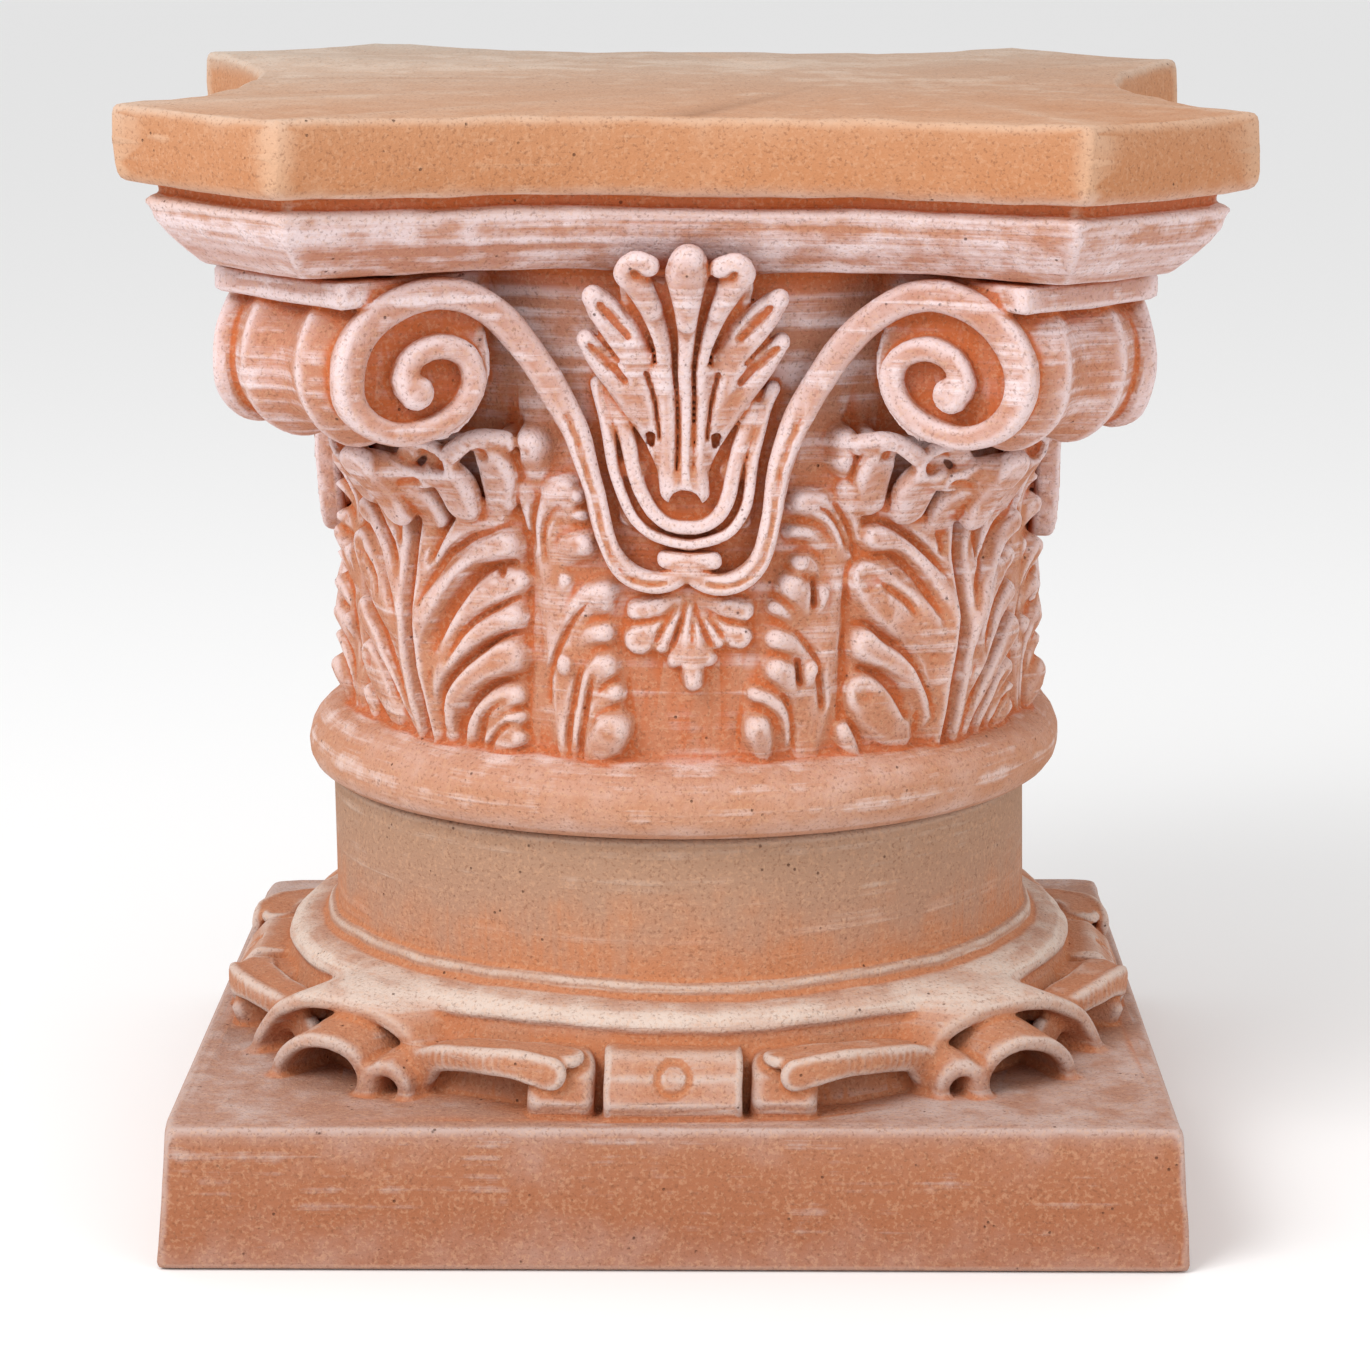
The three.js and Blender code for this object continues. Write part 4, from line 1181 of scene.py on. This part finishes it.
def blend(tree, share, a, b, kind="MIX"):
    made = tree.nodes.new("ShaderNodeMix")
    made.data_type = "RGBA"
    made.blend_type = kind
    for socket, value in ((made.inputs[0], share), (made.inputs[6], a), (made.inputs[7], b)):
        if isinstance(value, (int, float)):
            socket.default_value = value
        elif isinstance(value, tuple):
            socket.default_value = (*value, 1)
        else:
            tree.links.new(value, socket)
    return made.outputs[2]


def ramp(tree, value, low, high):
    """Zero below `low`, one above `high`, eased between."""
    made = tree.nodes.new("ShaderNodeMapRange")
    made.interpolation_type = "SMOOTHSTEP"
    tree.links.new(value, made.inputs["Value"])
    made.inputs["From Min"].default_value = low
    made.inputs["From Max"].default_value = high
    return made.outputs["Result"]


def noise(tree, coordinates, scale, detail=4.0, stretch=None):
    if stretch:
        mapping = tree.nodes.new("ShaderNodeMapping")
        mapping.inputs["Scale"].default_value = stretch
        tree.links.new(coordinates, mapping.inputs["Vector"])
        coordinates = mapping.outputs["Vector"]
    made = node(tree, "ShaderNodeTexNoise", Scale=scale, Detail=detail, Roughness=0.6)
    tree.links.new(coordinates, made.inputs["Vector"])
    return made.outputs["Fac"]


def wash_group():
    tree = bpy.data.node_groups.new("Lime wash on terracotta", "ShaderNodeTree")
    for label, kind in (("Point", "Vector"), ("Near", "Float"), ("Wide", "Float"), ("Cover", "Float"),
                        ("Clay", "Color"), ("Body", "Color"), ("Wash", "Color")):
        tree.interface.new_socket(label, in_out="INPUT", socket_type="NodeSocket" + kind)
    for label, kind in (("Color", "Color"), ("Roughness", "Float"), ("Height", "Float")):
        tree.interface.new_socket(label, in_out="OUTPUT", socket_type="NodeSocket" + kind)
    start, end = tree.nodes.new("NodeGroupInput"), tree.nodes.new("NodeGroupOutput")
    point = start.outputs["Point"]
    slow = noise(tree, point, 11)
    patch = noise(tree, point, 55, 5)
    streak = noise(tree, point, 5, 5, (1, 1, 40))
    grain = noise(tree, point, 700, 3)
    sand = noise(tree, point, 520, 2)
    pits = node(tree, "ShaderNodeTexVoronoi", Scale=210.0)
    tree.links.new(point, pits.inputs["Vector"])
    pinhole = math_node(tree, "SUBTRACT", 1, ramp(tree, pits.outputs["Distance"], 0.05, 0.16))
    few = ramp(tree, noise(tree, point, 90, 2), 0.56, 0.64)
    pinhole = math_node(tree, "MULTIPLY", pinhole, few)
    uneven = math_node(tree, "ADD", math_node(tree, "MULTIPLY", patch, 0.14),
                       math_node(tree, "MULTIPLY", slow, 0.1))
    deep = math_node(tree, "ADD", start.outputs["Near"], math_node(tree, "SUBTRACT", uneven, 0.12))
    hollow = ramp(tree, deep, 0.51, 0.61)
    # Partly the slip's orange and partly painted shade: broad recesses, found from the wide value, take the
    # darker clay colour as the shade that falls in them.
    far = ramp(tree, start.outputs["Wide"], 0.53, 0.7)
    hollow = math_node(tree, "MAXIMUM", hollow, math_node(tree, "MULTIPLY", far, 0.8))
    proud = math_node(tree, "SUBTRACT", 1, ramp(tree, deep, 0.36, 0.495))
    cover = math_node(tree, "ADD", start.outputs["Cover"], math_node(tree, "MULTIPLY", streak, 0.9))
    cover = math_node(tree, "ADD", cover, math_node(tree, "MULTIPLY", patch, 0.7))
    brushed = ramp(tree, cover, 0.93, 1.22)
    thick = math_node(tree, "MAXIMUM", math_node(tree, "MULTIPLY", proud, 0.9), brushed, clamp=True)
    color = blend(tree, thick, start.outputs["Body"], start.outputs["Wash"])
    color = blend(tree, math_node(tree, "MULTIPLY", hollow, 0.92), color, start.outputs["Clay"])
    # Painted shade: the deepest crevices are darkened towards near-black brown, where shadow falls.
    dark = math_node(tree, "MULTIPLY", ramp(tree, start.outputs["Near"], 0.64, 0.86), 0.62)
    color = blend(tree, dark, color, (0.1, 0.028, 0.012))
    color = blend(tree, math_node(tree, "MULTIPLY", ramp(tree, sand, 0.5, 0.66), 0.28), color,
                  (0.62, 0.36, 0.22))
    color = blend(tree, math_node(tree, "MULTIPLY", ramp(tree, grain, 0.46, 0.32), 0.42), color,
                  (0.16, 0.06, 0.03))
    color = blend(tree, math_node(tree, "MULTIPLY", pinhole, 0.7), color, (0.09, 0.03, 0.015))
    rough = math_node(tree, "ADD", math_node(tree, "MULTIPLY", patch, 0.2), 0.74)
    height = math_node(tree, "ADD", math_node(tree, "MULTIPLY", grain, 0.5),
                       math_node(tree, "MULTIPLY", sand, 0.6))
    height = math_node(tree, "ADD", height, math_node(tree, "MULTIPLY", streak, 0.5))
    height = math_node(tree, "SUBTRACT", height, math_node(tree, "MULTIPLY", pinhole, 1.2))
    height = math_node(tree, "ADD", height, math_node(tree, "MULTIPLY", thick, 0.35))
    for label, value in (("Color", color), ("Roughness", rough), ("Height", height)):
        tree.links.new(value, end.inputs[label])
    return tree


def zone_color(tree, height, stops):
    """A colour for each height in metres."""
    made = tree.nodes.new("ShaderNodeValToRGB")
    top = stops[-1][0]
    scaled = math_node(tree, "DIVIDE", height, top)
    tree.links.new(scaled, made.inputs["Fac"])
    points = made.color_ramp.elements
    while len(points) < len(stops):
        points.new(0.5)
    for element, (z, color) in zip(points, stops):
        element.position = z / top
    for element, (z, color) in zip(points, stops):
        element.color = (*color, 1)
    return made.outputs["Color"]


def finish_clay(material, wash, clay, body, lime, cover):
    material.use_nodes = True
    tree = material.node_tree
    surface = tree.nodes["Principled BSDF"]
    where = tree.nodes.new("ShaderNodeTexCoord")
    split = tree.nodes.new("ShaderNodeSeparateXYZ")
    tree.links.new(where.outputs["Object"], split.inputs[0])
    group = tree.nodes.new("ShaderNodeGroup")
    group.node_tree = wash
    tree.links.new(where.outputs["Object"], group.inputs["Point"])
    for label, name in (("Near", "near"), ("Wide", "wide")):
        attribute = node(tree, "ShaderNodeAttribute", attribute_name=name)
        tree.links.new(attribute.outputs["Fac"], group.inputs[label])
    tree.links.new(zone_color(tree, split.outputs["Z"], body), group.inputs["Body"])
    tree.links.new(zone_color(tree, split.outputs["Z"], lime), group.inputs["Wash"])
    tree.links.new(zone_color(tree, split.outputs["Z"], clay), group.inputs["Clay"])
    tree.links.new(zone_color(tree, split.outputs["Z"], cover), group.inputs["Cover"])
    bump = node(tree, "ShaderNodeBump", Strength=0.9, Distance=0.0009)
    tree.links.new(group.outputs["Height"], bump.inputs["Height"])
    tree.links.new(group.outputs["Color"], surface.inputs["Base Color"])
    tree.links.new(group.outputs["Roughness"], surface.inputs["Roughness"])
    tree.links.new(bump.outputs["Normal"], surface.inputs["Normal"])
    surface.inputs["Specular IOR Level"].default_value = 0.2


# %% [markdown]
# ## Two finishes
#
# The capital has lilac-white wash on its carving and a bare ochre slab. The base is plainer: a
# browner plinth, a beige drum and a paler ring. Heights pick the colours, as the brush worked in bands.

# %% Both finishes
def greys(*stops):
    """Heights and shares of cover, as stops of a ramp."""
    return [(z, (share, share, share)) for z, share in stops]


wash = wash_group()
finish_clay(clay_material, wash,
            clay=[(0, (0.46, 0.11, 0.03)), (0.43, (0.48, 0.115, 0.03)), (0.47, (0.46, 0.15, 0.055))],
            body=[(0.165, (0.48, 0.23, 0.13)), (0.2, (0.46, 0.2, 0.115)), (0.3, (0.48, 0.2, 0.11)),
                  (0.41, (0.45, 0.2, 0.13)), (0.436, (0.47, 0.2, 0.09)), (0.46, (0.47, 0.22, 0.11)),
                  (0.47, (0.45, 0.37, 0.3))],
            lime=[(0.165, (0.64, 0.46, 0.4)), (0.3, (0.74, 0.6, 0.6)), (0.42, (0.72, 0.58, 0.58)),
                  (0.436, (0.58, 0.34, 0.21)), (0.458, (0.58, 0.36, 0.24)), (0.47, (0.55, 0.47, 0.4))],
            cover=greys((0.165, 0.12), (0.198, 0.18), (0.205, 0.14), (0.4, 0.22), (0.428, 0.3),
                        (0.436, 0.02), (0.458, 0.05), (0.47, 0.3)))
finish_clay(base_material, wash,
            clay=[(0, (0.42, 0.13, 0.05)), (0.166, (0.5, 0.2, 0.09))],
            body=[(0, (0.32, 0.11, 0.05)), (0.05, (0.36, 0.14, 0.07)), (0.06, (0.38, 0.2, 0.14)),
                  (0.068, (0.42, 0.17, 0.09)), (0.085, (0.45, 0.19, 0.1)), (0.092, (0.52, 0.31, 0.23)),
                  (0.103, (0.4, 0.21, 0.14)), (0.166, (0.37, 0.22, 0.14))],
            lime=[(0, (0.42, 0.24, 0.18)), (0.06, (0.5, 0.37, 0.33)), (0.095, (0.62, 0.5, 0.43)),
                  (0.166, (0.45, 0.3, 0.22))],
            cover=greys((0, 0.02), (0.055, 0.12), (0.06, 0.26), (0.066, 0.06), (0.086, 0.06), (0.095, 0.4),
                        (0.104, 0.1), (0.166, 0.1)))
print("finishes:", clay_material.name, "and", base_material.name)

# %% [markdown]
# ## Floor, light and camera
#
# The piece stands on a plain pale sheet in soft daylight, with one large window high on the left.

# %% Studio
AIM = mathutils.Vector((0, 0, 0.25))
LENS = 109.04
TILT, TURN = math.radians(78.468), math.radians(0.569)
bpy.ops.mesh.primitive_plane_add(size=30, location=(0, 0, -0.0005))
floor = bpy.context.object
floor.name = "floor"
paper = bpy.data.materials.new("paper")
paper.use_nodes = True
paper.node_tree.nodes["Principled BSDF"].inputs["Base Color"].default_value = (0.9, 0.9, 0.9, 1)
paper.node_tree.nodes["Principled BSDF"].inputs["Roughness"].default_value = 0.9
floor.data.materials.append(paper)

world = bpy.data.worlds.new("daylight")
bpy.context.scene.world = world
world.use_nodes = True
world.node_tree.nodes["Background"].inputs["Color"].default_value = (1, 1, 1, 1)
world.node_tree.nodes["Background"].inputs["Strength"].default_value = 0.85
for name, place, size, power in (("window", (-1.3, -1.5, 1.9), 1.3, 42), ("fill", (1.6, -1.6, 1.0), 1.6, 9)):
    light = bpy.data.lights.new(name, "AREA")
    light.size = size
    light.energy = power
    lamp = bpy.data.objects.new(name, light)
    lamp.location = place
    lamp.rotation_euler = (AIM - lamp.location).to_track_quat("-Z", "Y").to_euler()
    bpy.context.scene.collection.objects.link(lamp)

lens = bpy.data.cameras.new("camera")
lens.lens = LENS
lens.sensor_width = 36
camera = bpy.data.objects.new("camera", lens)
camera.location = (0.0208, -1.801, 0.5663)
camera.rotation_euler = (TILT, 0, TURN)
bpy.context.scene.collection.objects.link(camera)
bpy.context.scene.camera = camera
bpy.context.scene.view_settings.view_transform = "Standard"
print("camera stands", -camera.location.y, "metres in front of the axis")

# %% [markdown]
# ## In place of the imported pieces
#
# Each casting rides on the root body and stands in for its imported piece, which is hidden.

# %% Frame, and the imported pieces hidden
for piece, part in ((capital, "capital"), (base, "base")):
    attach(piece, "root")
    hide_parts(part)
bpy.context.view_layer.update()
